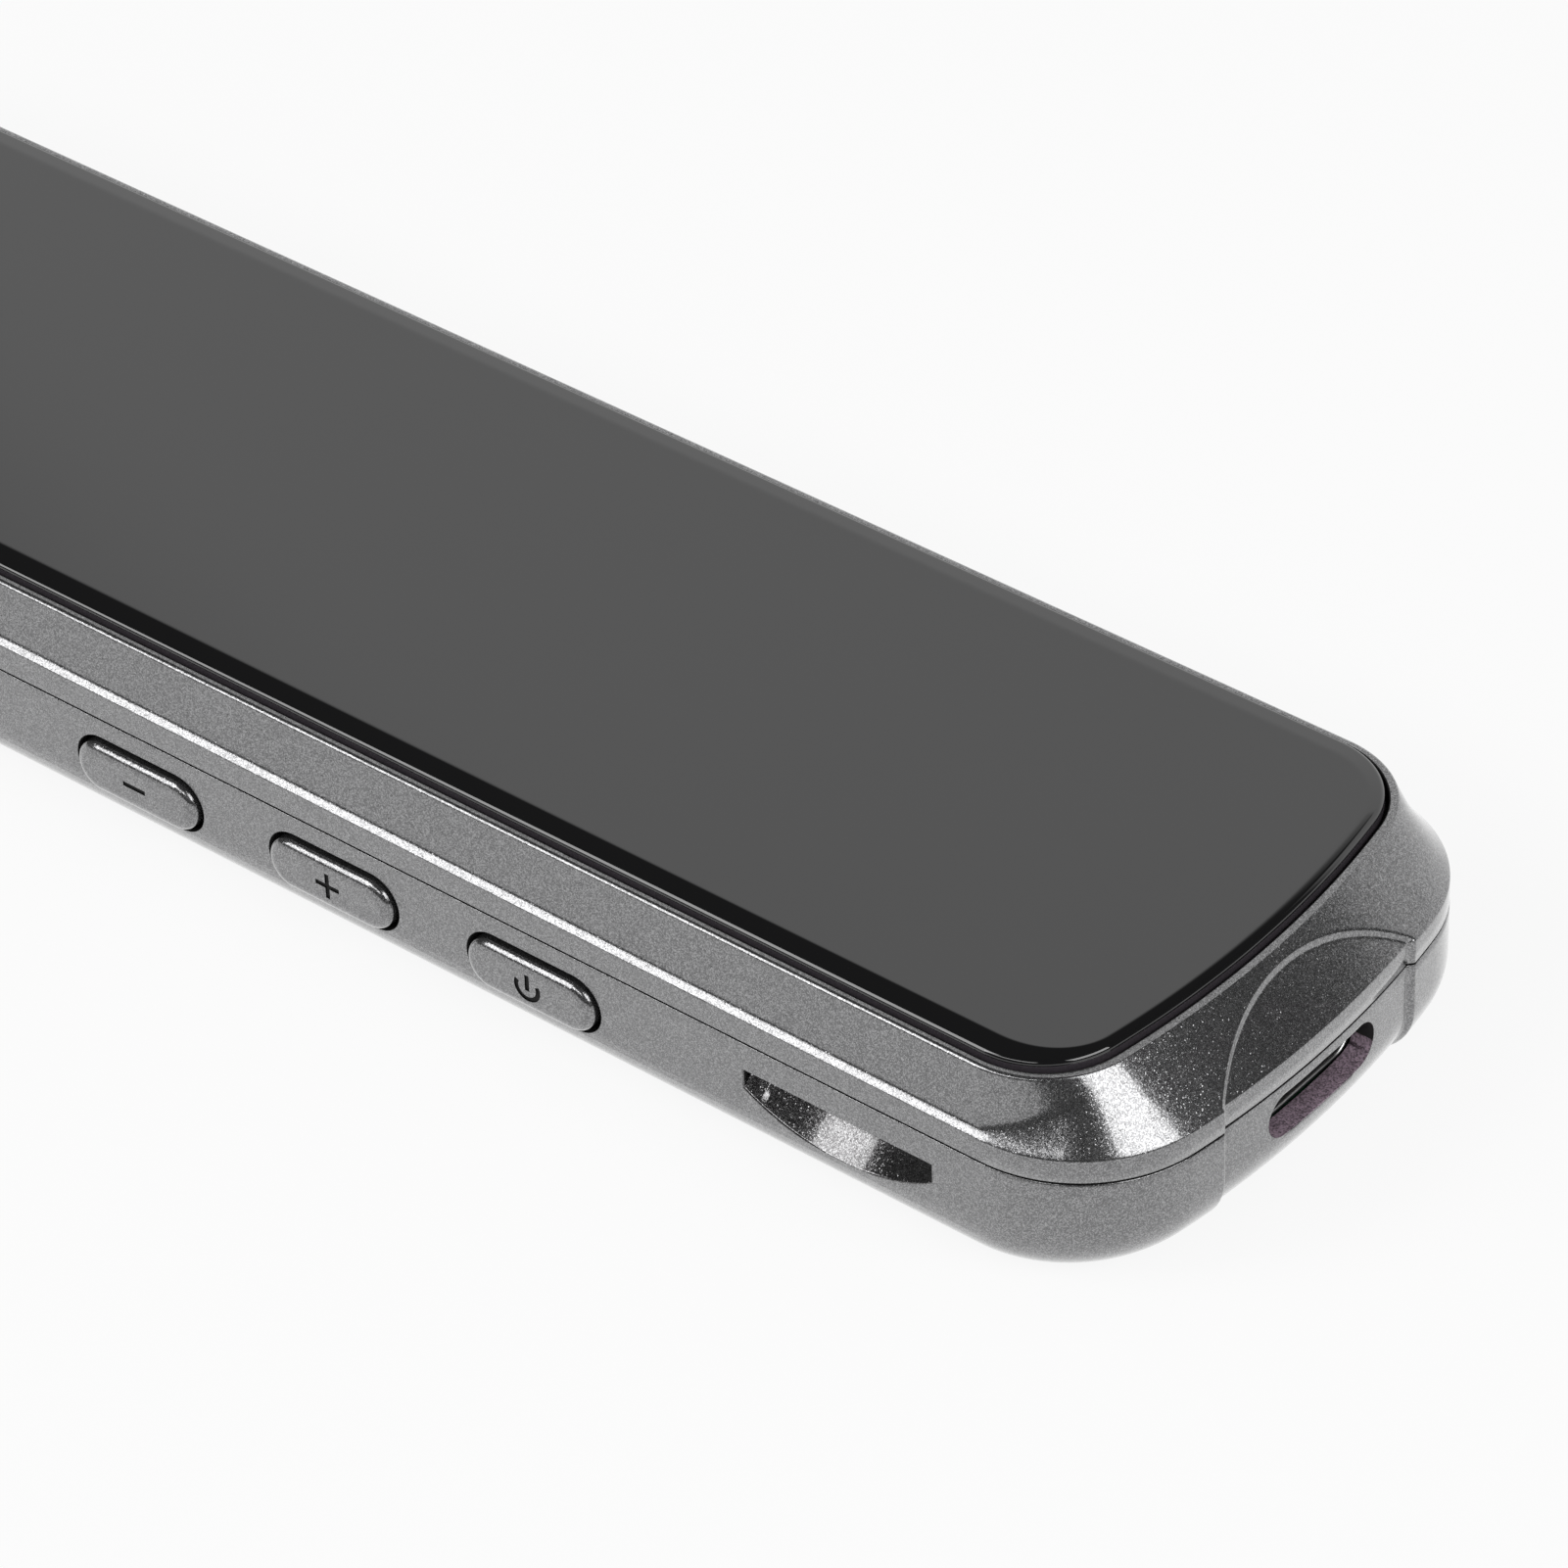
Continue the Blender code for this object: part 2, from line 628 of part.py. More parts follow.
def make_bosses():
    """Round posts on the floor that the circuit board and the camera bracket sit on."""
    board = [(BOSS_RADIUS, (x, y, -OVERRUN), (x, y, BOARD_BOTTOM - SEAT_GAP))
             for x, y in board_screw_places()]
    camera = [(BOSS_RADIUS, (x, y, -OVERRUN), (x, y, BRACKET_EAR_BOTTOM - SEAT_GAP))
              for x, y in bracket_screw_places()]
    return cylinders("bosses", board + camera)


def make_boss_holes():
    radius = SCREW_RADIUS + SEAT_GAP
    board = [(radius, (x, y, BOARD_TOP - SCREW_LENGTH), (x, y, BOARD_TOP + OVERRUN))
             for x, y in board_screw_places()]
    top = BRACKET_EAR_BOTTOM + BRACKET_BASE
    camera = [(radius, (x, y, top - SCREW_LENGTH), (x, y, top + OVERRUN))
              for x, y in bracket_screw_places()]
    return cylinders("boss_holes", board + camera)


def make_ribs():
    """Upright ribs on both long walls, and the ribs that hold the key board."""
    ribs = []
    for side, shares in ((-1, KEY_SIDE_RIB_SHARES), (1, PLAIN_SIDE_RIB_SHARES)):
        for share in shares:
            x = USB_END_X - share * CASE_LENGTH
            edges = (side * BODY_WIDTH, side * (INNER_HALF_WIDTH - RIB_DEPTH))
            low = (x - RIB_WIDTH / 2, min(edges), -OVERRUN)
            high = (x + RIB_WIDTH / 2, max(edges), CASE_HEIGHT)
            ribs.append(box("wall_rib", low, high))
    for x in (POWER_KEY_X, VOLUME_UP_X, VOLUME_DOWN_X):
        low = (x - KEY_RIB_WIDTH / 2, KEY_RIB_OUTER_Y, -OVERRUN)
        high = (x + KEY_RIB_WIDTH / 2, KEY_RIB_INNER_Y, KEY_LEVEL + SWITCH_HEIGHT / 2)
        ribs.append(box("key_rib", low, high))
    return ribs


def make_case_cavity():
    """The hollow of the lower case, with its bosses, ribs and strap walls left standing."""
    cavity = loft("case_cavity", hollow_rings(0, 0))
    cut(cavity, strap_block(), make_bosses(), *make_ribs())
    return cavity


def speaker_middle():
    return (SPEAKER_LOW_X + SPEAKER_HIGH_X) / 2


def make_sound_holes():
    """Two rows of speaker holes and the microphone hole, all through the floor."""
    specs = []
    reach = (SPEAKER_HOLES_IN_ROW - 1) / 2 * SPEAKER_HOLE_PITCH
    for row in (-1, 1):
        x = speaker_middle() + row * SPEAKER_HOLE_PITCH / 2
        for y in spaced(-reach, reach, SPEAKER_HOLES_IN_ROW - 1):
            specs.append((SPEAKER_HOLE_RADIUS, (x, y, -OVERRUN), (x, y, FLOOR + OVERRUN)))
    x, y = board_place(*BOARD_PLACE_SHARES["microphone"])
    specs.append((MICROPHONE_HOLE_RADIUS, (x, y, -OVERRUN), (x, y, FLOOR + OVERRUN)))
    return cylinders("sound_holes", specs)


def make_lower_case(paint, recess, passage):
    rings = fillet_rings(0, 0, 0, 0, 0)
    rings.append(plan_ring(CASE_TOP, 0, 0, 0))
    case = loft("lower_case", rings, PARTS)
    cut(case, make_case_cavity(), recess, passage)
    cut(case, usb_opening("usb_hole", USB_OPENING_WIDTH, USB_OPENING_HEIGHT,
                          USB_WALL_INNER_X - OVERRUN, USB_END_X + OVERRUN))
    keys = (("power_hole", POWER_KEY_X), ("volume_up_hole", VOLUME_UP_X),
            ("volume_down_hole", VOLUME_DOWN_X))
    cut(case, *[key_hole(name, x) for name, x in keys])
    cut(case, *make_strap_way(), make_boss_holes(), make_sound_holes())
    return finish_part(case, paint)


def display_window(gap):
    """Corners of the screen's space in plan, grown all round by a gap."""
    half = DISPLAY_HALF_WIDTH + gap
    return (DISPLAY_LOW_X - gap, -half), (DISPLAY_HIGH_X + gap, half)


def make_upper_frame(paint, recess, passage):
    """The shoulder that holds the glass, from the parting line up to the lip."""
    rings = [plan_ring(FRAME_BOTTOM, 0, 0, 0)] + shoulder_rings(0)
    frame = loft("upper_frame", rings, PARTS)
    ledge = DISPLAY_HALF_WIDTH + SEAT_GAP
    roof_level = RIDGE_HEIGHT - NOSE_ROOF
    roof_share = (DECK_BOTTOM + WALL - RIDGE_HEIGHT) / (CASE_HEIGHT - RIDGE_HEIGHT)
    hollow = [plan_ring(FRAME_BOTTOM - OVERRUN, WALL, WALL + RECESS_DEPTH, NOSE_WALL),
              plan_ring(roof_level, WALL, WALL + RECESS_DEPTH, NOSE_WALL),
              plan_ring(DECK_BOTTOM, HALF_WIDTH - ledge, END_SHOULDER + WALL,
                        NOSE_WALL + roof_share * NOSE_RAMP)]
    low, high = display_window(SEAT_GAP)
    window = box("frame_window", (*low, FRAME_BOTTOM), (*high, CASE_HEIGHT))
    seat = loft("glass_seat", [lip_ring(DECK_TOP, LIP_WIDTH),
                               lip_ring(CASE_HEIGHT + OVERRUN, LIP_WIDTH)])
    cut(frame, loft("frame_hollow", hollow), window, seat, recess, passage)
    return finish_part(frame, paint)


def make_glass(glass):
    """Cover glass with a flat bottom, an upright rim and edges that roll up to the flat top."""
    rings = [lip_ring(GLASS_BOTTOM, GLASS_INSET)]
    for angle in spaced(0, math.pi / 2, CROWN_STEPS):
        run = GLASS_ROLL * (1 - math.cos(angle))
        rings.append(lip_ring(CASE_HEIGHT + GLASS_CROWN * math.sin(angle), GLASS_INSET + run))
    return finish_part(loft("cover_glass", rings, PARTS), glass)


def make_tape(foam):
    tape = loft("glass_tape", [lip_ring(TAPE_TOP - TAPE_THICKNESS, GLASS_INSET),
                               lip_ring(TAPE_TOP, GLASS_INSET)], PARTS)
    low, high = display_window(SEAT_GAP)
    cut(tape, box("tape_window", (*low, DECK_TOP), (*high, GLASS_BOTTOM)))
    return finish_part(tape, foam)


def make_screen(screen, white, metal):
    """The display panel, its backlight and the steel plate that carries them."""
    low, high = display_window(0)
    panel = box("display_panel", (*low, DISPLAY_BOTTOM), (*high, DISPLAY_TOP), PARTS)
    finish_part(panel, screen)
    backlight_low = (*low, MID_PLATE_TOP + SEAT_GAP)
    backlight_high = (*high, DISPLAY_BOTTOM - SEAT_GAP)
    finish_part(box("backlight", backlight_low, backlight_high, PARTS), white)
    side = WALL + 2 * SEAT_GAP
    plate = [plan_ring(level, side, MID_PLATE_FROM_END, NOSE_TAPER, nose=False)
             for level in (MID_PLATE_BOTTOM, MID_PLATE_TOP)]
    finish_part(loft("middle_plate", plate, PARTS), metal)


def make_key(name, centre_x, paint):
    """A key cap with two ears behind the wall that keep it from falling out."""
    depth = KEY_PROUD + WALL + SEAT_GAP + KEY_FLANGE / 2
    middle = Vector((centre_x, -HALF_WIDTH - KEY_PROUD + depth / 2, KEY_LEVEL))
    cap = flat_outline(name, stadium(KEY_LENGTH, KEY_HEIGHT), depth, middle, FACING_SIDE, PARTS)
    round_edges(cap, KEY_EDGE_RADIUS, EDGE_STEPS)
    reach = KEY_LENGTH / 2 + KEY_EAR
    low = (centre_x - reach, FLANGE_OUTER_Y, KEY_LEVEL - KEY_EAR_HEIGHT / 2)
    high = (centre_x + reach, FLANGE_INNER_Y, KEY_LEVEL + KEY_EAR_HEIGHT / 2)
    join(cap, box(name + "_ears", low, high))
    return finish_part(cap, paint)


def make_key_switch(name, centre_x, plastic, rubber):
    """A small push switch with its plunger, behind one key."""
    low = (centre_x - SWITCH_LENGTH / 2, SWITCH_OUTER_Y, KEY_LEVEL - SWITCH_HEIGHT / 2)
    high = (centre_x + SWITCH_LENGTH / 2, SWITCH_INNER_Y, KEY_LEVEL + SWITCH_HEIGHT / 2)
    body = box(name + "_switch", low, high, PARTS)
    pocket = (PLUNGER_RADIUS + SEAT_GAP, (centre_x, SWITCH_OUTER_Y - OVERRUN, KEY_LEVEL),
              (centre_x, SWITCH_OUTER_Y + SWITCH_POCKET, KEY_LEVEL))
    cut(body, cylinders(name + "_switch_pocket", [pocket]))
    finish_part(body, plastic)
    stem = (PLUNGER_RADIUS, (centre_x, PLUNGER_OUTER_Y, KEY_LEVEL),
            (centre_x, PLUNGER_OUTER_Y + PLUNGER_LENGTH, KEY_LEVEL))
    finish_part(cylinders(name + "_plunger", [stem], PARTS), rubber)


def make_key_board(board):
    reach = KEY_PITCH + KEY_BOARD_MARGIN
    low = (VOLUME_UP_X - reach, KEY_BOARD_OUTER_Y, KEY_LEVEL - KEY_BOARD_HEIGHT / 2)
    high = (VOLUME_UP_X + reach, KEY_BOARD_INNER_Y, KEY_LEVEL + KEY_BOARD_HEIGHT / 2)
    finish_part(box("key_board", low, high, PARTS), board)


def make_usb(metal, black):
    """The socket's metal shell, and the moulding with the contact tongue inside it."""
    high_x = USB_WALL_INNER_X - SEAT_GAP
    low_x = high_x - USB_SHELL_LENGTH
    wall = 2 * USB_SHELL_WALL
    middle = Vector(((low_x + high_x) / 2, 0, USB_LEVEL))
    shell = flat_outline("usb_shell", stadium(USB_OPENING_WIDTH + wall, USB_OPENING_HEIGHT + wall),
                         USB_SHELL_LENGTH, middle, FACING_END, PARTS)
    cut(shell, usb_opening("usb_shell_bore", USB_OPENING_WIDTH, USB_OPENING_HEIGHT,
                           low_x - OVERRUN, high_x + OVERRUN))
    finish_part(shell, metal)
    width = USB_OPENING_WIDTH - 2 * SEAT_GAP
    height = USB_OPENING_HEIGHT - 2 * SEAT_GAP
    middle = Vector((low_x + USB_INSULATOR_LENGTH / 2, 0, USB_LEVEL))
    insulator = flat_outline("usb_tongue", stadium(width, height), USB_INSULATOR_LENGTH, middle,
                             FACING_END, PARTS)
    half_width = USB_TONGUE_WIDTH / 2
    half_height = USB_TONGUE_THICKNESS / 2
    tongue = box("usb_tongue_blade",
                 (low_x + USB_INSULATOR_LENGTH / 2, -half_width, USB_LEVEL - half_height),
                 (high_x - USB_TONGUE_SETBACK, half_width, USB_LEVEL + half_height))
    join(insulator, tongue)
    finish_part(insulator, black)


def make_main_board(board, steel):
    low = (BOARD_LOW_X, BOARD_LOW_Y, BOARD_BOTTOM)
    high = (BOARD_HIGH_X, BOARD_HIGH_Y, BOARD_TOP)
    main = box("main_board", low, high, PARTS)
    limit = loft("board_limit", hollow_rings(RIB_DEPTH + SEAT_GAP, SEAT_GAP))
    apply_boolean(main, limit, "INTERSECT")
    radius = SCREW_RADIUS + SEAT_GAP
    holes = [(radius, (x, y, BOARD_BOTTOM - OVERRUN), (x, y, BOARD_TOP + OVERRUN))
             for x, y in board_screw_places()]
    x, y = board_place(*BOARD_PLACE_SHARES["microphone"])
    holes.append((MICROPHONE_HOLE_RADIUS, (x, y, BOARD_BOTTOM - OVERRUN), (x, y, BOARD_TOP + OVERRUN)))
    cut(main, cylinders("board_holes", holes))
    finish_part(main, board)
    make_screws("board_screw", board_screw_places(), BOARD_TOP, steel)


def make_screws(name, places, seat, steel):
    """Equal screws, each standing in its boss with its head over the seat."""
    head_bottom = seat + SEAT_GAP
    head_top = head_bottom + SCREW_HEAD_HEIGHT
    tip = seat - SCREW_LENGTH + SEAT_GAP
    for number, (x, y) in enumerate(places, start=1):
        own_name = name + "_" + str(number)
        shank = (SCREW_RADIUS, (x, y, tip), (x, y, head_bottom + SCREW_HEAD_HEIGHT / 2))
        head = (SCREW_HEAD_RADIUS, (x, y, head_bottom), (x, y, head_top))
        screw = cylinders(own_name, [shank], PARTS)
        join(screw, cylinders(own_name + "_head", [head]))
        finish_part(screw, steel)


def make_board_part(name, size, material):
    """One component, standing on the circuit board at its share of the board."""
    x, y = board_place(*BOARD_PLACE_SHARES[name])
    level = BOARD_TOP + SEAT_GAP
    low = (x - size[0] / 2, y - size[1] / 2, level)
    high = (x + size[0] / 2, y + size[1] / 2, level + size[2])
    return finish_part(box(name, low, high, PARTS), material)


def make_battery(wrap, foam):
    """The battery and its tape fill the space between the board, the speaker and the ribs."""
    low_y = KEY_RIB_INNER_Y + SEAT_GAP
    tape_bottom = FLOOR + SEAT_GAP
    tape_top = tape_bottom + TAPE_THICKNESS
    tape = box("battery_tape", (BATTERY_LOW_X + BATTERY_SPACE, low_y + BATTERY_SPACE, tape_bottom),
               (BATTERY_HIGH_X - BATTERY_SPACE, PLAIN_SIDE_LIMIT - BATTERY_SPACE, tape_top), PARTS)
    finish_part(tape, foam)
    battery = box("battery", (BATTERY_LOW_X, low_y, tape_top + SEAT_GAP),
                  (BATTERY_HIGH_X, PLAIN_SIDE_LIMIT, MID_PLATE_BOTTOM - SEAT_GAP), PARTS)
    round_edges(battery, BATTERY_EDGE_RADIUS, EDGE_STEPS)
    finish_part(battery, wrap)


def make_speaker(black, foam):
    half_y = SPEAKER_SIZE[1] / 2
    gasket_low = FLOOR + SEAT_GAP
    gasket_high = gasket_low + TAPE_THICKNESS
    gasket = box("speaker_gasket", (SPEAKER_LOW_X, -half_y, gasket_low),
                 (SPEAKER_HIGH_X, half_y, gasket_high), PARTS)
    wall = SPEAKER_GASKET_WALL
    cut(gasket, box("gasket_hole", (SPEAKER_LOW_X + wall, -half_y + wall, FLOOR),
                    (SPEAKER_HIGH_X - wall, half_y - wall, gasket_high + SEAT_GAP)))
    finish_part(gasket, foam)
    bottom = gasket_high + SEAT_GAP
    speaker = box("speaker", (SPEAKER_LOW_X, -half_y, bottom),
                  (SPEAKER_HIGH_X, half_y, bottom + SPEAKER_SIZE[2]), PARTS)
    finish_part(speaker, black)


def make_aerial(copper):
    """A flat aerial on the plain side wall, in the bay between two ribs."""
    shares = PLAIN_SIDE_RIB_SHARES
    x = USB_END_X - CASE_LENGTH * (shares[-1] + shares[-2]) / 2
    high_y = INNER_HALF_WIDTH - SEAT_GAP
    low = (x - AERIAL_LENGTH / 2, high_y - AERIAL_THICKNESS, BOTTOM_FILLET)
    high = (x + AERIAL_LENGTH / 2, high_y, BOTTOM_FILLET + AERIAL_HEIGHT)
    finish_part(box("aerial", low, high, PARTS), copper)


def tip_ring(x, inset, narrowing=0, thinning=0, slant=0):
    """One section of the tip. A slanted ring leans forward at the top."""
    height = TIP_HEIGHT - 2 * thinning
    return [Vector((x - slant * up / height, across, TIP_LEVEL + up))
            for across, up in tip_outline(inset, narrowing, thinning)]


def tip_rings(inset, overrun):
    """From the flange forward to the slanted mouth, straight in the nose and then narrowing."""
    mouth_x = TIP_FRONT_X + TIP_SLANT / 2
    return [tip_ring(FLANGE_BACK_X + overrun, inset),
            tip_ring(NOSE_X, inset),
            tip_ring(mouth_x - overrun, inset, TIP_NARROWING, TIP_THINNING, TIP_SLANT)]


def make_tip(smoke, clear):
    """The sliding tip: a hollow housing, two ears that hold it in, and a window in its mouth."""
    housing = loft("scan_tip", tip_rings(0, 0), PARTS)
    reach = TIP_WIDTH / 2 + SEAT_GAP + TIP_EAR
    half_height = TIP_HEIGHT / 2 - TIP_CORNER_RADIUS
    ears = box("scan_tip_ears", (FLANGE_FRONT_X, -reach, TIP_LEVEL - half_height),
               (FLANGE_BACK_X, reach, TIP_LEVEL + half_height))
    join(housing, ears)
    cut(housing, loft("scan_tip_bore", tip_rings(TIP_WALL, OVERRUN)))
    finish_part(housing, smoke)
    inset = TIP_WALL + SEAT_GAP
    front_x = TIP_FRONT_X + TIP_SLANT / 2 + WINDOW_SETBACK
    pane = [tip_ring(front_x + WINDOW_THICKNESS, inset, TIP_NARROWING, TIP_THINNING, TIP_SLANT),
            tip_ring(front_x, inset, TIP_NARROWING, TIP_THINNING, TIP_SLANT)]
    finish_part(loft("scan_window", pane, PARTS), clear)


def make_tip_switch(plastic, rubber):
    """The switch on the lamp board that the tip presses through its plunger."""
    depth, width, height = TIP_SWITCH_SIZE
    back_x = LAMP_BOARD_X - SEAT_GAP
    front_x = back_x - depth
    y = (TIP_WIDTH + TIP_EAR) / 2 - TIP_WALL / 2
    body = box("tip_switch", (front_x, y - width / 2, TIP_LEVEL - height / 2),
               (back_x, y + width / 2, TIP_LEVEL + height / 2), PARTS)
    start_x = FLANGE_BACK_X + SEAT_GAP
    end_x = start_x + TIP_PLUNGER_LENGTH
    pocket = (TIP_PLUNGER_RADIUS + SEAT_GAP, (front_x - OVERRUN, y, TIP_LEVEL),
              (end_x + TIP_TRAVEL + SEAT_GAP, y, TIP_LEVEL))
    cut(body, cylinders("tip_switch_pocket", [pocket]))
    finish_part(body, plastic)
    stem = (TIP_PLUNGER_RADIUS, (start_x, y, TIP_LEVEL), (end_x, y, TIP_LEVEL))
    finish_part(cylinders("tip_plunger", [stem], PARTS), rubber)


def half_width_inside(x):
    """Half the hollow's width at a place in the tapering nose."""
    start_x = NOSE_X + NOSE_TAPER
    share = (start_x - x) / (start_x - NOSE_X - NOSE_CORNER_RADIUS)
    fall = (1 - math.cos(math.pi * min(share, 1))) / 2
    return INNER_HALF_WIDTH - (HALF_WIDTH - NOSE_WIDTH / 2) * fall


def make_lamp_board(board, lamp):
    """An upright board across the nose, with a hole for the barrel and two lamps in front."""
    half = half_width_inside(LAMP_BOARD_X) - 2 * SEAT_GAP
    low = (LAMP_BOARD_X, -half, BOTTOM_FILLET)
    plate = box("lamp_board", low, (LAMP_BOARD_BACK_X, half, RIDGE_HEIGHT - NOSE_ROOF), PARTS)
    hole = (BARREL_RADIUS + SEAT_GAP, (LAMP_BOARD_X - OVERRUN, 0, TIP_LEVEL),
            (LAMP_BOARD_BACK_X + OVERRUN, 0, TIP_LEVEL))
    cut(plate, cylinders("lamp_board_hole", [hole], sides=2 * HOLE_SIDES))
    finish_part(plate, board)
    depth, width, height = LAMP_SIZE
    back_x = LAMP_BOARD_X - SEAT_GAP
    for name, y in (("scan_lamp_left", -LAMP_SPREAD), ("scan_lamp_right", LAMP_SPREAD)):
        low = (back_x - depth, y - width / 2, TIP_LEVEL - height / 2)
        high = (back_x, y + width / 2, TIP_LEVEL + height / 2)
        finish_part(box(name, low, high, PARTS), lamp)


def make_camera(black, glass, plastic, steel):
    """The camera block, its lens barrel, the front lens and the bracket that holds them."""
    half = CAMERA_SIDE / 2
    block = box("camera_block", (CAMERA_FRONT_X + SEAT_GAP, -half, TIP_LEVEL - half),
                (CAMERA_BACK_X, half, TIP_LEVEL + half), PARTS)
    finish_part(block, black)
    barrel = cylinders("camera_barrel", [(BARREL_RADIUS, (BARREL_FRONT_X, 0, TIP_LEVEL),
                                          (CAMERA_FRONT_X, 0, TIP_LEVEL))], PARTS, 2 * HOLE_SIDES)
    lens_back_x = BARREL_FRONT_X + LENS_SETBACK + LENS_THICKNESS
    bore = (BARREL_RADIUS - BARREL_WALL, (BARREL_FRONT_X - OVERRUN, 0, TIP_LEVEL),
            (lens_back_x + SEAT_GAP, 0, TIP_LEVEL))
    cut(barrel, cylinders("camera_barrel_bore", [bore], sides=2 * HOLE_SIDES))
    finish_part(barrel, black)
    lens = (BARREL_RADIUS - BARREL_WALL - SEAT_GAP, (BARREL_FRONT_X + LENS_SETBACK, 0, TIP_LEVEL),
            (lens_back_x, 0, TIP_LEVEL))
    finish_part(cylinders("camera_lens", [lens], PARTS, 2 * HOLE_SIDES), glass)
    make_camera_bracket(plastic, steel)


def make_camera_bracket(plastic, steel):
    low_x = CAMERA_FRONT_X + SEAT_GAP
    high_x = low_x + BRACKET_LENGTH
    inner = CAMERA_SIDE / 2 + SEAT_GAP
    outer = inner + BRACKET_WALL
    reach = outer + BRACKET_EAR
    ear_top = BRACKET_EAR_BOTTOM + BRACKET_BASE
    bracket = box("camera_bracket", (low_x, -reach, BRACKET_EAR_BOTTOM), (high_x, reach, ear_top), PARTS)
    cheeks = box("bracket_cheeks", (low_x, -outer, FLOOR + SEAT_GAP),
                 (high_x, outer, TIP_LEVEL + CAMERA_SIDE / 2))
    join(bracket, cheeks)
    cut(bracket, box("bracket_channel", (low_x - OVERRUN, -inner, TIP_LEVEL - inner),
                     (high_x + OVERRUN, inner, CASE_HEIGHT)))
    radius = SCREW_RADIUS + SEAT_GAP
    holes = [(radius, (x, y, FLOOR), (x, y, ear_top + OVERRUN)) for x, y in bracket_screw_places()]
    cut(bracket, cylinders("bracket_holes", holes))
    finish_part(bracket, plastic)
    make_screws("bracket_screw", bracket_screw_places(), ear_top, steel)


def build():
    paint = make_material("gunmetal_paint", (0.21, 0.21, 0.215), 0.32, 0.85)
    glass = make_material("black_glass", (0.01, 0.01, 0.011), 0.05, 0)
    screen = make_material("dark_screen", (0.02, 0.02, 0.022), 0.2, 0)
    white = make_material("white_plastic", (0.8, 0.8, 0.78), 0.5, 0)
    metal = make_material("steel", (0.55, 0.55, 0.55), 0.35, 1)
    foam = make_material("black_foam", (0.03, 0.03, 0.03), 0.9, 0)
    black = make_material("black_plastic", (0.02, 0.02, 0.02), 0.45, 0)
    rubber = make_material("grey_rubber", (0.2, 0.2, 0.2), 0.8, 0)
    board = make_material("green_board", (0.02, 0.14, 0.06), 0.5, 0)
    wrap = make_material("silver_wrap", (0.45, 0.46, 0.47), 0.4, 0.6)
    copper = make_material("copper", (0.72, 0.38, 0.2), 0.35, 1)
    smoke = make_material("smoked_plastic", (0.03, 0.03, 0.035), 0.1, 0)
    clear = make_material("clear_plastic", (0.75, 0.78, 0.8), 0.05, 0)
    lamp = make_material("lamp_white", (0.9, 0.88, 0.7), 0.4, 0)
    recess = make_end_recess()
    passage = make_tip_passage()
    make_lower_case(paint, recess, passage)
    make_upper_frame(paint, recess, passage)
    make_glass(glass)
    make_tape(foam)
    make_screen(screen, white, metal)
    for name, x in (("power", POWER_KEY_X), ("volume_up", VOLUME_UP_X), ("volume_down", VOLUME_DOWN_X)):
        make_key(name + "_button", x, paint)
        make_key_switch(name, x, black, rubber)
    make_key_board(board)
    make_usb(metal, black)
    make_main_board(board, metal)
    make_board_part("processor_shield", SHIELD_SIZE, metal)
    make_board_part("radio_module", RADIO_SIZE, metal)
    make_board_part("memory_chip", MEMORY_SIZE, black)
    make_board_part("display_connector", DISPLAY_CONNECTOR_SIZE, black)
    make_board_part("battery_connector", BATTERY_CONNECTOR_SIZE, white)
    make_board_part("microphone", MICROPHONE_SIZE, metal)
    make_battery(wrap, foam)
    make_speaker(black, foam)
    make_aerial(copper)
    make_tip(smoke, clear)
    make_tip_switch(black, rubber)
    make_lamp_board(board, lamp)
    make_camera(black, clear, black, metal)


build()
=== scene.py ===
import json
import math

import bmesh
import bpy
from bpy.props import FloatProperty, FloatVectorProperty, PointerProperty
from bpy.types import Operator, Panel, PropertyGroup
from mathutils import Matrix, Vector


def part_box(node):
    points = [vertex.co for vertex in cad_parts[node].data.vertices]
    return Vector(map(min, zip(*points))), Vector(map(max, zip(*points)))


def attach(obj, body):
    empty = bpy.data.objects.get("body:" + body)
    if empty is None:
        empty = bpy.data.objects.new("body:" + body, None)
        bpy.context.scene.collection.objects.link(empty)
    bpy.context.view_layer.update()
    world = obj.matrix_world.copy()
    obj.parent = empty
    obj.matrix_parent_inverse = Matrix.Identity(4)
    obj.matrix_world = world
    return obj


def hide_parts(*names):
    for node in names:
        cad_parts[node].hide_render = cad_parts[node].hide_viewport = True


bl_info = {
    "name": "Scanning pen finish",
    "version": (1, 0, 0),
    "blender": (4, 5, 0),
    "location": "3D View > Sidebar > Scanning pen",
    "description": "Dresses the scanning pen with its fine shells, keys, glass, socket and finishes",
    "category": "Object",
}

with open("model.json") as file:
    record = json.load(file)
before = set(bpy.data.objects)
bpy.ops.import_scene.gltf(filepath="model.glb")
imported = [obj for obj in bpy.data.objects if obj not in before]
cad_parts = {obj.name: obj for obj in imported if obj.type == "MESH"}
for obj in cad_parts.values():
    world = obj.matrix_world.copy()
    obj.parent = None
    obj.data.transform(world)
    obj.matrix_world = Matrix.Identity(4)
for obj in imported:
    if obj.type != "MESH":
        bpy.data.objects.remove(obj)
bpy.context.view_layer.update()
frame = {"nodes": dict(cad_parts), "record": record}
CASE_LOW, CASE_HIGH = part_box("lower_case")
GLASS_LOW, GLASS_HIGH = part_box("cover_glass")
SHELL_LOW, SHELL_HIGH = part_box("usb_shell")
TONGUE_LOW, TONGUE_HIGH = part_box("usb_tongue")
TIP_LOW, TIP_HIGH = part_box("scan_tip")
SOCKET_MIDDLE = (SHELL_LOW.z + SHELL_HIGH.z) / 2
TIP_MIDDLE = (TIP_LOW.z + TIP_HIGH.z) / 2
KEYS = ("power", "volume_up", "volume_down")

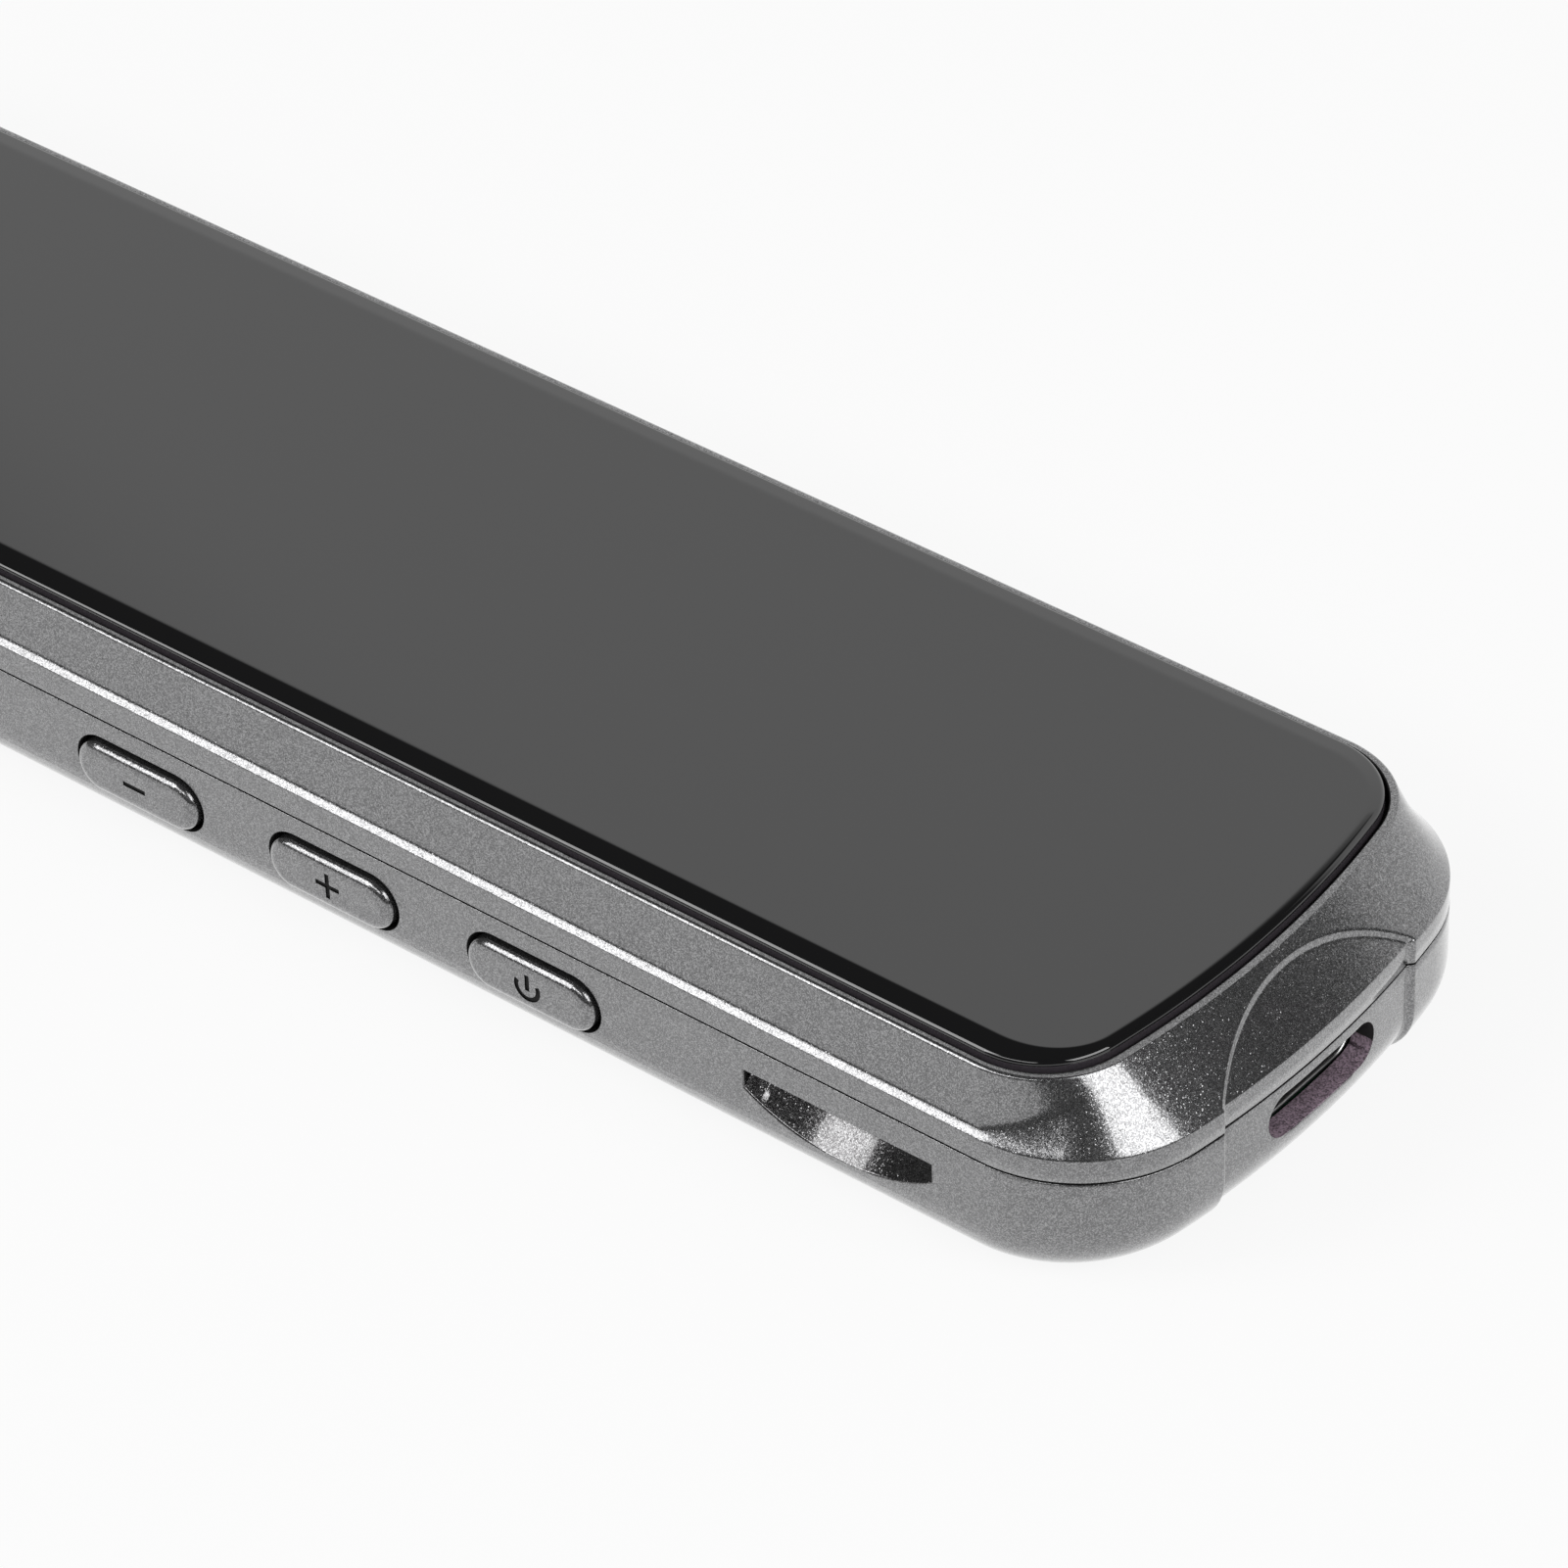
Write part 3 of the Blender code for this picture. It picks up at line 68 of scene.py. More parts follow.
# How finely round stretches are divided
END_STEP = 0.00007
MEET_STEPS = 4
CORNER_STEPS = 24
TAPER_STEPS = 25
NOSE_CORNER_STEPS = 5
BACK_BULGE_STEPS = 7
FILLET_STEPS = 14
SHOULDER_STEPS = 54
ROLL_STEPS = 5
ROUND_STEPS = 14
ARC_STEPS = 36
HOLE_SIDES = 28
SPIN_STEPS = 40
BEVEL_STEPS = 3
EXIT_CORNER_STEPS = 3
TIP_STEPS = 15
TABLE_SIDES = 128

# How many columns or levels the plain stretches have
PLAIN_STEPS = 6
HOLLOW_COLUMNS = 8
SEAT_COLUMNS = 12
GLASS_COLUMNS = 24

# Heights about the ridge, closer together towards it
RIDGE_LEVELS = (-0.0006, -0.0003, -0.00015, -0.00007, -0.00003, -0.00001,
                0.00001, 0.00003, 0.00007, 0.00011)

# Small values that keep cuts clean
OVERRUN = 0.0006
SLACK = 0.00001
MERGE_DISTANCE = 0.000001

# Counts and curves of the small parts
EAR_BEVEL = 0.0001
CONTACTS = 12
SPEAKER_ROWS = (-0.5, 0.5)
SPEAKER_PLACES = (-2, -1, 0, 1, 2)
TIP_CURVE = 1.35

# Dust on the glass: cells to a metre, and the core and rim of a speck in cells
DUST_SCALE = 105
DUST_CORE = 0.0035
DUST_RIM = 0.0075

# The camera's sensor and reach
SENSOR_WIDTH = 36
CLIP_START = 0.01
CLIP_END = 20


def size(name, description, default):
    return FloatProperty(name=name, description=description, default=default, precision=5,
                         unit="LENGTH", subtype="DISTANCE")


def ratio(name, description, default):
    return FloatProperty(name=name, description=description, default=default, precision=3)


def angle(name, description, degrees):
    return FloatProperty(name=name, description=description, default=math.radians(degrees),
                         unit="ROTATION", subtype="ANGLE")


def colour(name, description, default):
    return FloatVectorProperty(name=name, description=description, default=default, size=3,
                               subtype="COLOR", min=0, max=1)


def place(name, description, default):
    return FloatVectorProperty(name=name, description=description, default=default, size=3,
                               precision=5, unit="LENGTH", subtype="TRANSLATION")


class PenCaseSizes(PropertyGroup):
    length: size("Case length", "From the nose to the middle of the USB end, without the tip", 0.142)
    bulge_radius: size("End bulge radius", "Radius of the shallow bulge of the USB end", 0.060)
    corner_radius: size("Corner radius", "Radius of the corners seen from above", 0.0078)
    bottom_fillet: size("Bottom rounding", "Radius of the long lower edges", 0.003)
    end_fillet_height: size("End rounding height", "Height of the rounding at the USB end", 0.004)
    end_fillet_run: size("End rounding run", "How far the end rounding reaches under", 0.0045)
    chin_ratio: ratio("Chin", "How much further the rounding reaches under the nose", 1.7)
    top_level: size("Case top", "Upper edge of the lower case", 0.00697)
    skin: size("Skin", "Thickness of the finely shaped outside", 0.0006)
    edge_bevel: size("Edge break", "Small bevel along the joint of the two shells", 0.00003)
    nose_width: size("Nose width", "Width of the nose at its front", 0.021)
    nose_taper: size("Nose taper", "Length over which the flanks draw in", 0.024)
    nose_corner: size("Nose corner radius", "Radius of the nose's two front corners", 0.0018)
    recess_depth: size("Recess depth", "Depth of the panel on the USB end", 0.0003)
    recess_width: size("Recess width", "Width of the panel on the USB end", 0.0152)
    arch_base: size("Arch base", "Level at which the panel's arch begins", 0.0085)
    arch_rise: size("Arch rise", "Height of the panel's arch over its base", 0.00265)
    arch_step: size("Arch step", "Width of the soft step round the arch", 0.0005)
    wall_step: size("Wall step", "Width of the soft step down the wall", 0.0004)


class PenFrameSizes(PropertyGroup):
    bottom_level: size("Frame bottom", "Lower edge of the upper frame", 0.0071)
    ridge_level: size("Ridge level", "Level of the crisp ridge round the body", 0.00842)
    nose_ridge_level: size("Nose ridge level", "Level of the same ridge over the nose", 0.009)
    shoulder_top: size("Shoulder top", "Level where the shoulder turns into the lip", 0.01162)
    lip_roll: size("Lip rounding", "Radius of the lip's outer edge", 0.00025)
    end_lip_roll: size("End lip rounding", "Radius of the lip's outer edge at the USB end", 0.00006)
    end_lean: angle("End lean", "Slope from which the lip's edge rounds at the USB end", 44)
    lip_inner_roll: size("Inner lip rounding", "Radius of the lip's inner edge", 0.00008)
    lip_width: size("Lip width", "Width of the lip round the glass", 0.0005)
    lip_corner: size("Lip corner radius", "Radius of the lip's corners", 0.0056)
    side_shoulder: size("Side shoulder", "How far the shoulder runs in on the long sides", 0.0011)
    end_shoulder: size("End shoulder", "How far the shoulder runs in at the USB end", 0.00325)
    nose_ramp: size("Nose ramp", "How far the roof of the nose runs in", 0.018)
    ledge_slope: ratio("Ledge slope", "Rise over run of the narrow ledge above the ridge", 1.09)
    shoulder_slope: ratio("Shoulder slope", "Rise over run of the steep side shoulder", 3.65)
    ridge_softness: size("Ridge softness", "Width over which the ridge is rounded", 0.00005)
    ledge_softness: size("Ledge softness", "Width over which ledge and shoulder blend", 0.00009)
    ledge_fade: angle("Ledge fade", "Turn of the corner over which the ledge fades out", 80)
    seat_level: size("Seat level", "Floor of the recess that takes the glass", 0.01041)


class PenGlassSizes(PropertyGroup):
    inset: size("Glass inset", "From the shoulder's top to the glass", 0.00071)
    flat_inset: size("Flat inset", "From the shoulder's top to where the glass becomes flat", 0.0021)
    end_flat_inset: size("End flat inset", "The same at the USB end, with its narrower border", 0.0015)
    lean_blend: size("Lean blend", "Width over which the flat glass turns into its border", 0.0005)
    edge_roll: size("Edge radius", "Radius of the glass's tight outer edge", 0.0003)
    edge_tilt: angle("Edge tilt", "Lean of the border up to the tight edge", 7.5)


class PenKeySizes(PropertyGroup):
    hole_gap: size("Key gap", "Gap between a key and its hole", 0.00025)
    hole_roll: size("Hole rounding", "Rounding of the key holes' rims", 0.00003)
    cap_roll: size("Cap rounding run", "How far a key's edge rounds in", 0.00062)
    cap_roll_depth: size("Cap rounding depth", "How deep a key's edge rounds", 0.00044)
    ear_height: size("Ear height", "Height of the ears behind the wall", 0.0022)
    ear_depth: size("Ear depth", "Thickness of the ears behind the wall", 0.0008)
    cap_length: size("Cap length", "Length of a key's face", 0.0081)
    sign_depth: size("Sign depth", "Depth of the sunk signs", 0.00006)
    sign_stroke: size("Sign stroke", "Line width of the sunk signs", 0.00028)
    minus_length: size("Minus length", "Length of the minus sign", 0.0015)
    plus_length: size("Plus length", "Length of the plus sign's arms", 0.00155)
    power_radius: size("Power radius", "Radius of the power sign's ring", 0.0007)
    power_opening: angle("Power opening", "Opening of the power sign's ring", 130)
    power_bar: size("Power bar", "Length of the power sign's bar", 0.00098)
    power_bar_lift: size("Power bar lift", "Height of the bar's middle over the ring's", 0.0003)


class PenStrapSizes(PropertyGroup):
    from_end: size("Slot from end", "From the USB end to the slot's middle", 0.0172)
    length: size("Slot length", "Length of the crescent", 0.01145)
    top: size("Slot top", "Level of the crescent's straight edge", 0.00535)
    end_height: size("Slot end height", "Height of the crescent's two ends", 0.00115)
    sag: size("Slot sag", "Depth of the crescent's curve", 0.0016)
    bar: size("Strap bar", "Depth of the bar that the strap goes round", 0.002)
    floor_rise: size("Floor rise", "How far the slot's floor rises over the bar", 0.00175)
    depth: size("Slot depth", "Depth of the whole way from the wall", 0.005)
    exit_length: size("Exit length", "Length of the opening in the underside", 0.0086)
    roll: size("Slot rounding", "Rounding of the slot's rims", 0.00008)


class PenSocketSizes(PropertyGroup):
    width: size("Socket width", "Inner width of the socket", 0.0086)
    height: size("Socket height", "Inner height of the socket", 0.0026)
    rim: size("Socket rim", "Rounding of the opening in the case", 0.00007)
    shell_wall: size("Shell wall", "Thickness of the metal shell", 0.0003)
    tongue_width: size("Tongue width", "Width of the contact tongue", 0.0067)
    tongue_thickness: size("Tongue thickness", "Thickness of the contact tongue", 0.0007)
    base_length: size("Base length", "Length of the moulding that holds the tongue", 0.0014)
    contact_pitch: size("Contact pitch", "Distance between contacts", 0.0005)
    contact_width: size("Contact width", "Width of one contact", 0.00026)
    contact_proud: size("Contact height", "How far a contact stands out of the tongue", 0.00003)


class PenTipSizes(PropertyGroup):
    gap: size("Tip gap", "Gap between the tip and the nose", 0.0003)
    flange: size("Tip flange", "Thickness of the ears inside the nose", 0.0012)
    ear: size("Tip ear", "How far the ears stand out past the passage", 0.0006)
    wall: size("Tip wall", "Wall of the tip", 0.0008)
    corner: size("Tip corner radius", "Radius of the tip's long edges", 0.0018)
    narrowing: size("Tip narrowing", "How far each flank draws in to the mouth", 0.0014)
    thinning: size("Tip thinning", "How far top and bottom draw in to the mouth", 0.0005)
    slant: size("Mouth slant", "How far the mouth leans forward at the top", 0.0026)
    lip: size("Mouth rounding", "Rounding of the mouth's rim", 0.0002)
    nose_wall: size("Nose wall", "Thickness of the nose's front wall", 0.0016)


class PenSoundSizes(PropertyGroup):
    radius: size("Speaker hole", "Radius of a speaker hole", 0.0006)
    pitch: size("Speaker pitch", "Distance between speaker holes", 0.0022)
    microphone_radius: size("Microphone hole", "Radius of the microphone hole", 0.0005)
    rim: size("Hole rim", "Rounding of the sound holes", 0.0001)


class PenFinish(PropertyGroup):
    paint: colour("Paint", "Gunmetal paint of the shells and keys", (0.127, 0.127, 0.13))
    flake: colour("Flake", "Bright flakes in the paint", (0.35, 0.35, 0.355))
    flake_size: size("Flake size", "Size of one metal flake", 0.00005)
    # Painted shade: the slot's paint and flakes are darker than the case's own paint, standing for the
    # shade inside the strap slot
    shaded_slot_paint: colour("Slot paint", "Thinner, darker coat in the strap slot", (0.045, 0.043, 0.045))
    shaded_slot_flake: colour("Slot flake", "Flakes in the coat inside the strap slot", (0.22, 0.22, 0.222))
    overspray: colour("Overspray", "Thin paint inside the openings", (0.22, 0.165, 0.205))
    # Painted shade: in the socket's opening, faces that look up less than this are made black as shade;
    # only the lit floor keeps the speckled overspray
    painted_shade_reach: ratio("Overspray reach", "How far up a face must look to have caught paint", 0.35)
    glass: colour("Glass", "Black print behind the glass", (0.003, 0.003, 0.0033))
    glass_edge: colour("Glass edge", "Cut edge of the glass", (0.05, 0.044, 0.051))
    dust: colour("Dust", "Specks of dust on the glass", (0.34, 0.34, 0.34))
    ink: colour("Ink", "Filling of the sunk signs", (0.006, 0.006, 0.006))
    steel: colour("Steel", "Sheet metal and screws", (0.55, 0.55, 0.55))
    gold: colour("Contact plating", "Plating of the socket's contacts", (0.83, 0.6, 0.26))
    black_plastic: colour("Black plastic", "Moulded inner parts", (0.02, 0.02, 0.02))
    white_plastic: colour("White plastic", "Light guide and battery plug", (0.8, 0.8, 0.78))
    foam: colour("Foam", "Tapes and gaskets", (0.03, 0.03, 0.03))
    rubber: colour("Rubber", "Plungers under the keys", (0.2, 0.2, 0.2))
    board: colour("Circuit board", "Green lacquer of the boards", (0.02, 0.14, 0.06))
    wrap: colour("Battery wrap", "Laminated foil of the battery", (0.45, 0.46, 0.47))
    copper: colour("Copper", "Foil of the aerial", (0.72, 0.38, 0.2))
    smoke: colour("Smoked plastic", "Glossy dark plastic of the tip", (0.03, 0.03, 0.035))
    clear: colour("Clear plastic", "Window and lens", (0.86, 0.88, 0.9))
    lamp: colour("Lamp", "Small white lamps beside the camera", (0.9, 0.88, 0.7))
    screen: colour("Screen", "Display panel, switched off", (0.02, 0.02, 0.022))


class PenStage(PropertyGroup):
    eye: place("Camera place", "Where the camera stands", (0.23821, -0.23273, 0.25194))
    azimuth: angle("Camera azimuth", "Turn of the camera round the pen", 40.12)
    elevation: angle("Camera elevation", "Height of the camera over the table", 38.78)
    roll: angle("Camera roll", "Lean of the camera", -2.189)
    lens: FloatProperty(name="Lens", description="Focal length", default=179.88, unit="CAMERA")
    floor_radius: size("Floor radius", "Radius of the table disc", 0.9)
    floor_drop: size("Floor drop", "Keeps the table just clear of the pen's flat underside", 0.00005)
    floor: colour("Floor", "Pale table", (0.86, 0.86, 0.86))
    light_distance: size("Light distance", "From the pen to the soft boxes", 1.0)
    radiance: ratio("Radiance", "Brightness of the soft boxes", 4.4)
    side_bearing: angle("Side light bearing", "Bearing of the soft box beside the keys", -37)
    side_height: angle("Side light height", "Height of the soft box beside the keys", 35)
    side_width: size("Side light width", "Width of the soft box beside the keys", 0.38)
    side_tall: size("Side light extent", "Upright extent of the soft box beside the keys", 0.66)
    end_bearing: angle("End light bearing", "Bearing of the soft box at the USB end", 85)
    end_height: angle("End light height", "Height of the soft box at the USB end", 36)
    end_width: size("End light width", "Width of the soft box at the USB end", 0.68)
    end_tall: size("End light extent", "Upright extent of the soft box at the USB end", 0.5)
    front_bearing: angle("Front light bearing", "Bearing of the low strip light in front", -2)
    front_height: angle("Front light height", "Height of the strip light in front", 38.5)
    front_width: size("Front light width", "Width of the strip light in front", 0.88)
    front_tall: size("Front light extent", "Upright extent of the strip light in front", 0.16)
    dark_level: ratio("Dark side", "Brightness of the room's dark side", 0.08)
    fill_level: ratio("Fill", "Even light from all round", 0.3)
    back_bearing: angle("Pale back bearing", "Bearing of the middle of the room's pale back", 190)
    back_start: ratio("Pale back start", "Nearness to that bearing where the back begins", 0.57)
    back_full: ratio("Pale back full", "Nearness to that bearing where the back is fully pale", 0.66)
    back_fade: ratio("Pale back fade", "Height in the room at which the pale back starts to end", 0.665)
    back_top: ratio("Pale back top", "Height in the room at which the pale back has ended", 0.73)
    floor_share: ratio("Floor share", "How much of the table near the pen is plain white", 0.88)
    floor_near: size("Floor near", "Distance from which the table turns plain white", 0.12)
    floor_far: size("Floor far", "Distance at which the table is all plain white", 0.45)


SETTINGS = {
    "pen_case": PenCaseSizes,
    "pen_frame": PenFrameSizes,
    "pen_glass": PenGlassSizes,
    "pen_keys": PenKeySizes,
    "pen_strap": PenStrapSizes,
    "pen_socket": PenSocketSizes,
    "pen_tip": PenTipSizes,
    "pen_sound": PenSoundSizes,
    "pen_finish": PenFinish,
    "pen_stage": PenStage,
}


# Outlines

def spaced(start, end, steps):
    return [start + (end - start) * step / steps for step in range(steps + 1)]


def arc(centre, radius, start, end, steps):
    return [(centre[0] + radius * math.cos(turn), centre[1] + radius * math.sin(turn))
            for turn in spaced(start, end, steps)]


def smooth(share):
    """Eases a share from 0 to 1, flat at both ends."""
    share = min(max(share, 0), 1)
    return share * share * (3 - 2 * share)


def soft_max(first, second, softness):
    return (first + second + math.hypot(first - second, softness)) / 2


def soft_min(first, second, softness):
    return (first + second - math.hypot(first - second, softness)) / 2


def roll(radius, steps=ROLL_STEPS):
    """Depths and growths of a hole's rounded rim, from the face inwards."""
    return [(radius * (1 - math.cos(turn)), radius * (1 - math.sin(turn)))
            for turn in spaced(0, math.pi / 2, steps)]


def stadium(length, height, steps=ROUND_STEPS):
    radius = height / 2
    reach = length / 2 - radius
    right = arc((reach, 0), radius, -math.pi / 2, math.pi / 2, 2 * steps)
    left = arc((-reach, 0), radius, math.pi / 2, 3 * math.pi / 2, 2 * steps)
    return right + left


def rounded_rectangle(width, height, radius, steps=ROUND_STEPS):
    across = width / 2 - radius
    up = height / 2 - radius
    quarter = math.pi / 2
    points = []
    for turn, corner in enumerate(((across, up), (-across, up), (-across, -up), (across, -up))):
        points += arc(corner, radius, turn * quarter, (turn + 1) * quarter, steps)
    return points


def bulged_end(case, half_width, apex_x, corner_radius, columns):
    """From the end's middle, over the given columns, round one corner to the straight side."""
    corner_y = half_width - corner_radius
    bulge_x = apex_x - case.bulge_radius
    reach = case.bulge_radius - corner_radius
    turn = math.asin(corner_y / reach)
    corner_x = bulge_x + reach * math.cos(turn)
    meet_y = case.bulge_radius * math.sin(turn)
    places = columns + spaced(columns[-1], meet_y, MEET_STEPS)[1:-1]
    bulge = [(bulge_x + math.sqrt(case.bulge_radius ** 2 - y ** 2), y) for y in places]
    return bulge + arc((corner_x, corner_y), corner_radius, turn, math.pi / 2, CORNER_STEPS)


def back_end(case, half_width, apex_x, corner_radius):
    """The lip's far end, with as many points as the tapered nose below it."""
    corner_y = half_width - corner_radius
    bulge_x = apex_x - case.bulge_radius
    reach = case.bulge_radius - corner_radius
    turn = math.asin(corner_y / reach)
    corner_x = bulge_x + reach * math.cos(turn)
    bulge = arc((bulge_x, 0), case.bulge_radius, 0, turn, BACK_BULGE_STEPS)
    corner = arc((corner_x, corner_y), corner_radius, turn, math.pi / 2, CORNER_STEPS)
    return [(-x, y) for x, y in reversed(bulge[:-1] + corner)]


def tapered_nose(case, half_width, nose_half_width, nose_x, corner_radius):
    """From the straight side along the drawn-in flank to the middle of the nose."""
    start_x = CASE_LOW.x + case.nose_taper
    end_x = nose_x + corner_radius
    drop = half_width - nose_half_width
    flank = []
    for step in range(TAPER_STEPS):
        share = step / TAPER_STEPS
        fall = (1 - math.cos(math.pi * share)) / 2
        flank.append((start_x + (end_x - start_x) * share, half_width - drop * fall))
    corner = arc((end_x, nose_half_width - corner_radius), corner_radius,
                 math.pi / 2, math.pi, NOSE_CORNER_STEPS)
    return flank + corner + [(nose_x, 0)]


def both_halves(half):
    return half + [(x, -y) for x, y in reversed(half[1:-1])]


def panel_columns(case):
    """Places across the USB end, close together all over the arch."""
    reach = case.recess_width / 2 + 2 * case.wall_step
    return spaced(0, reach, round(reach / END_STEP))


def groove_columns(case):
    """Places across the USB end, close together only at the panel's two side steps."""
    half = case.recess_width / 2
    near = half - case.wall_step
    far = half + 2 * case.wall_step
    return spaced(0, near, PLAIN_STEPS)[:-1] + spaced(near, far, round((far - near) / END_STEP))


def body_outline(case, columns, side=0, usb=0, scan=0):
    """The body's outline from above, drawn in at the sides, the USB end and the nose."""
    half_width = CASE_HIGH.y - side
    usb_x = CASE_LOW.x + case.length - usb
    half = bulged_end(case, half_width, usb_x, case.corner_radius - side, columns)
    least_corner = case.nose_corner / 6
    nose_corner = max(case.nose_corner - side, least_corner)
    half += tapered_nose(case, half_width, case.nose_width / 2 - side, CASE_LOW.x + scan, nose_corner)
    return both_halves(half)


def broken_edge(case, columns):
    """The body's outline, drawn in all round by the small bevel of the joint."""
    return body_outline(case, columns, case.edge_bevel, case.edge_bevel, case.edge_bevel)


def lip_outline(case, rim, columns, inset=0):
    """The outline of the lip round the glass, drawn in by an inset."""
    half_width = CASE_HIGH.y - rim.side_shoulder - inset
    usb_x = CASE_LOW.x + case.length - rim.end_shoulder - inset
    corner = rim.lip_corner - inset
    half = bulged_end(case, half_width, usb_x, corner, columns)
    half += back_end(case, half_width, -(CASE_LOW.x + rim.nose_ramp + inset), corner)
    return both_halves(half)


def at_level(outline, level):
    return [Vector((x, y, level)) for x, y in outline]


def recess_share(case, y, z):
    """How far a place on the USB end lies within the sunk panel and its arch, from 0 to 1."""
    half = case.recess_width / 2
    radius = (half ** 2 + case.arch_rise ** 2) / (2 * case.arch_rise)
    below_arch = radius - math.hypot(y, z - case.arch_base - case.arch_rise + radius)
    inside = min(half - abs(y), below_arch)
    above = smooth((z - case.arch_base) / case.arch_rise)
    step = case.wall_step + (case.arch_step - case.wall_step) * above
    return smooth(inside / step + 0.5)


def sunk(case, section):
    """Moves the points of the panel on the USB end inwards."""
    middle_x = CASE_LOW.x + case.length / 2
    return [point - Vector((case.recess_depth * recess_share(case, point.y, point.z), 0, 0))
            if point.x > middle_x else point for point in section]


# Mesh building

def start_ring(form, points):
    verts = [form.verts.new(point) for point in points]
    for first, second in zip(verts, verts[1:] + verts[:1]):
        form.edges.new((first, second))
    return verts


def ring_edges(form, verts):
    return [form.edges.get(pair) for pair in zip(verts, verts[1:] + verts[:1])]


def next_ring(form, verts, points):
    """Extrudes a closed ring of edges and sets the new ring on its own points."""
    made = bmesh.ops.extrude_edge_only(form, edges=ring_edges(form, verts))
    fresh = {item for item in made["geom"] if isinstance(item, bmesh.types.BMVert)}
    following = []
    for vert, point in zip(verts, points):
        twin = next(edge.other_vert(vert) for edge in vert.link_edges
                    if edge.other_vert(vert) in fresh)
        twin.co = point
        following.append(twin)
    return following


def loft(sections, closed=False):
    """A solid that is extruded from section to section, with flat ends or closed on itself."""
    form = bmesh.new()
    first = start_ring(form, sections[0])
    if not closed:
        bmesh.ops.contextual_create(form, geom=ring_edges(form, first))
    last = first
    for section in sections[1:]:
        last = next_ring(form, last, section)
    if closed:
        bmesh.ops.bridge_loops(form, edges=ring_edges(form, last) + ring_edges(form, first))
    else:
        bmesh.ops.contextual_create(form, geom=ring_edges(form, last))
    bmesh.ops.recalc_face_normals(form, faces=form.faces)
    return form


def block(low, high, bevel=0):
    """A box between two corners, with its edges broken."""
    low, high = Vector(low), Vector(high)
    form = bmesh.new()
    bmesh.ops.create_cube(form, size=1)
    bmesh.ops.scale(form, vec=high - low, verts=form.verts)
    bmesh.ops.translate(form, vec=(low + high) / 2, verts=form.verts)
    if bevel:
        bmesh.ops.bevel(form, geom=form.edges[:], offset=bevel, affect="EDGES",
                        segments=BEVEL_STEPS, profile=0.5, material=-1)
    return form


def as_object(name, form, *finishes):
    mesh = bpy.data.meshes.new(name)
    form.to_mesh(mesh)
    form.free()
    thing = bpy.data.objects.new(name, mesh)
    for finish in finishes:
        mesh.materials.append(finish)
    bpy.context.scene.collection.objects.link(thing)
    return thing


def cad_copy(node, finish):
    """A merged copy of a node's mesh, to cut with."""
    form = bmesh.new()
    form.from_mesh(frame["nodes"][node].data)
    bmesh.ops.remove_doubles(form, verts=form.verts, dist=MERGE_DISTANCE)
    return as_object(node + "_copy", form, finish)


def combine(solid, others, operation):
    """Cuts or joins the others at once. New faces keep the finish of what made them."""
    group = bpy.data.collections.new("tools")
    bpy.context.scene.collection.children.link(group)
    for other in others:
        group.objects.link(other)
    modifier = solid.modifiers.new("shape", "BOOLEAN")
    modifier.operation = operation
    modifier.solver = "EXACT"
    modifier.material_mode = "TRANSFER"
    modifier.operand_type = "COLLECTION"
    modifier.collection = group
    evaluated = solid.evaluated_get(bpy.context.evaluated_depsgraph_get())
    shaped = bpy.data.meshes.new_from_object(evaluated)
    solid.modifiers.remove(modifier)
    solid.data = shaped
    for other in others:
        bpy.data.objects.remove(other, do_unlink=True)
    bpy.data.collections.remove(group)
    if not shaped.polygons:
        raise RuntimeError(solid.name + " came out empty")
    return solid


def finish_piece(thing, body, slot, *nodes, sharp=35):
    """Shades a piece, lets it ride on its body and stand for its nodes."""
    thing.data.name = thing.name
    thing.data.shade_smooth()
    thing.data.set_sharp_from_angle(angle=math.radians(sharp))
    weighted = thing.modifiers.new("even shading", "WEIGHTED_NORMAL")
    weighted.keep_sharp = True
    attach(thing, body)
    if nodes:
        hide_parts(*nodes)
    return thing


# Finishes

def add_node(owner, kind, sockets=None, **settings):
    """Adds a node to a material or world, and sets its entries and its settings."""
    made = owner.node_tree.nodes.new(kind)
    for name, value in settings.items():
        setattr(made, name, value)
    for name, value in (sockets or {}).items():
        made.inputs[name].default_value = value
    return made


def wire(owner, source, output, target, entry):
    owner.node_tree.links.new(source.outputs[output], target.inputs[entry])


def new_finish(name, base, roughness, metallic=0, **sockets):
    material = bpy.data.materials.new(name)
    material.use_nodes = True
    shader = material.node_tree.nodes["Principled BSDF"]
    shader.inputs["Base Color"].default_value = (*base, 1)
    shader.inputs["Roughness"].default_value = roughness
    shader.inputs["Metallic"].default_value = metallic
    for entry, value in sockets.items():
        shader.inputs[entry.replace("_", " ")].default_value = value
    return material, shader


def own_place(material, scale=(1, 1, 1)):
    """Object coordinates, stretched by a mapping."""
    source = add_node(material, "ShaderNodeTexCoord")
    mapping = add_node(material, "ShaderNodeMapping", {"Scale": scale})
    wire(material, source, "Object", mapping, "Vector")
    return mapping


def noise_pattern(material, scale, detail, stretch=(1, 1, 1), distortion=0):
    mapping = own_place(material, stretch)
    noise = add_node(material, "ShaderNodeTexNoise",
                     {"Scale": scale, "Detail": detail, "Distortion": distortion})
    wire(material, mapping, "Vector", noise, "Vector")
    return noise


def cell_pattern(material, scale):
    mapping = own_place(material)
    cells = add_node(material, "ShaderNodeTexVoronoi", {"Scale": scale}, feature="F1")
    wire(material, mapping, "Vector", cells, "Vector")
    return cells


def cell_channels(material, cells):
    """The three channels of the random colour that each cell has for itself."""
    apart = add_node(material, "ShaderNodeSeparateColor")
    wire(material, cells, "Color", apart, "Color")
    return apart


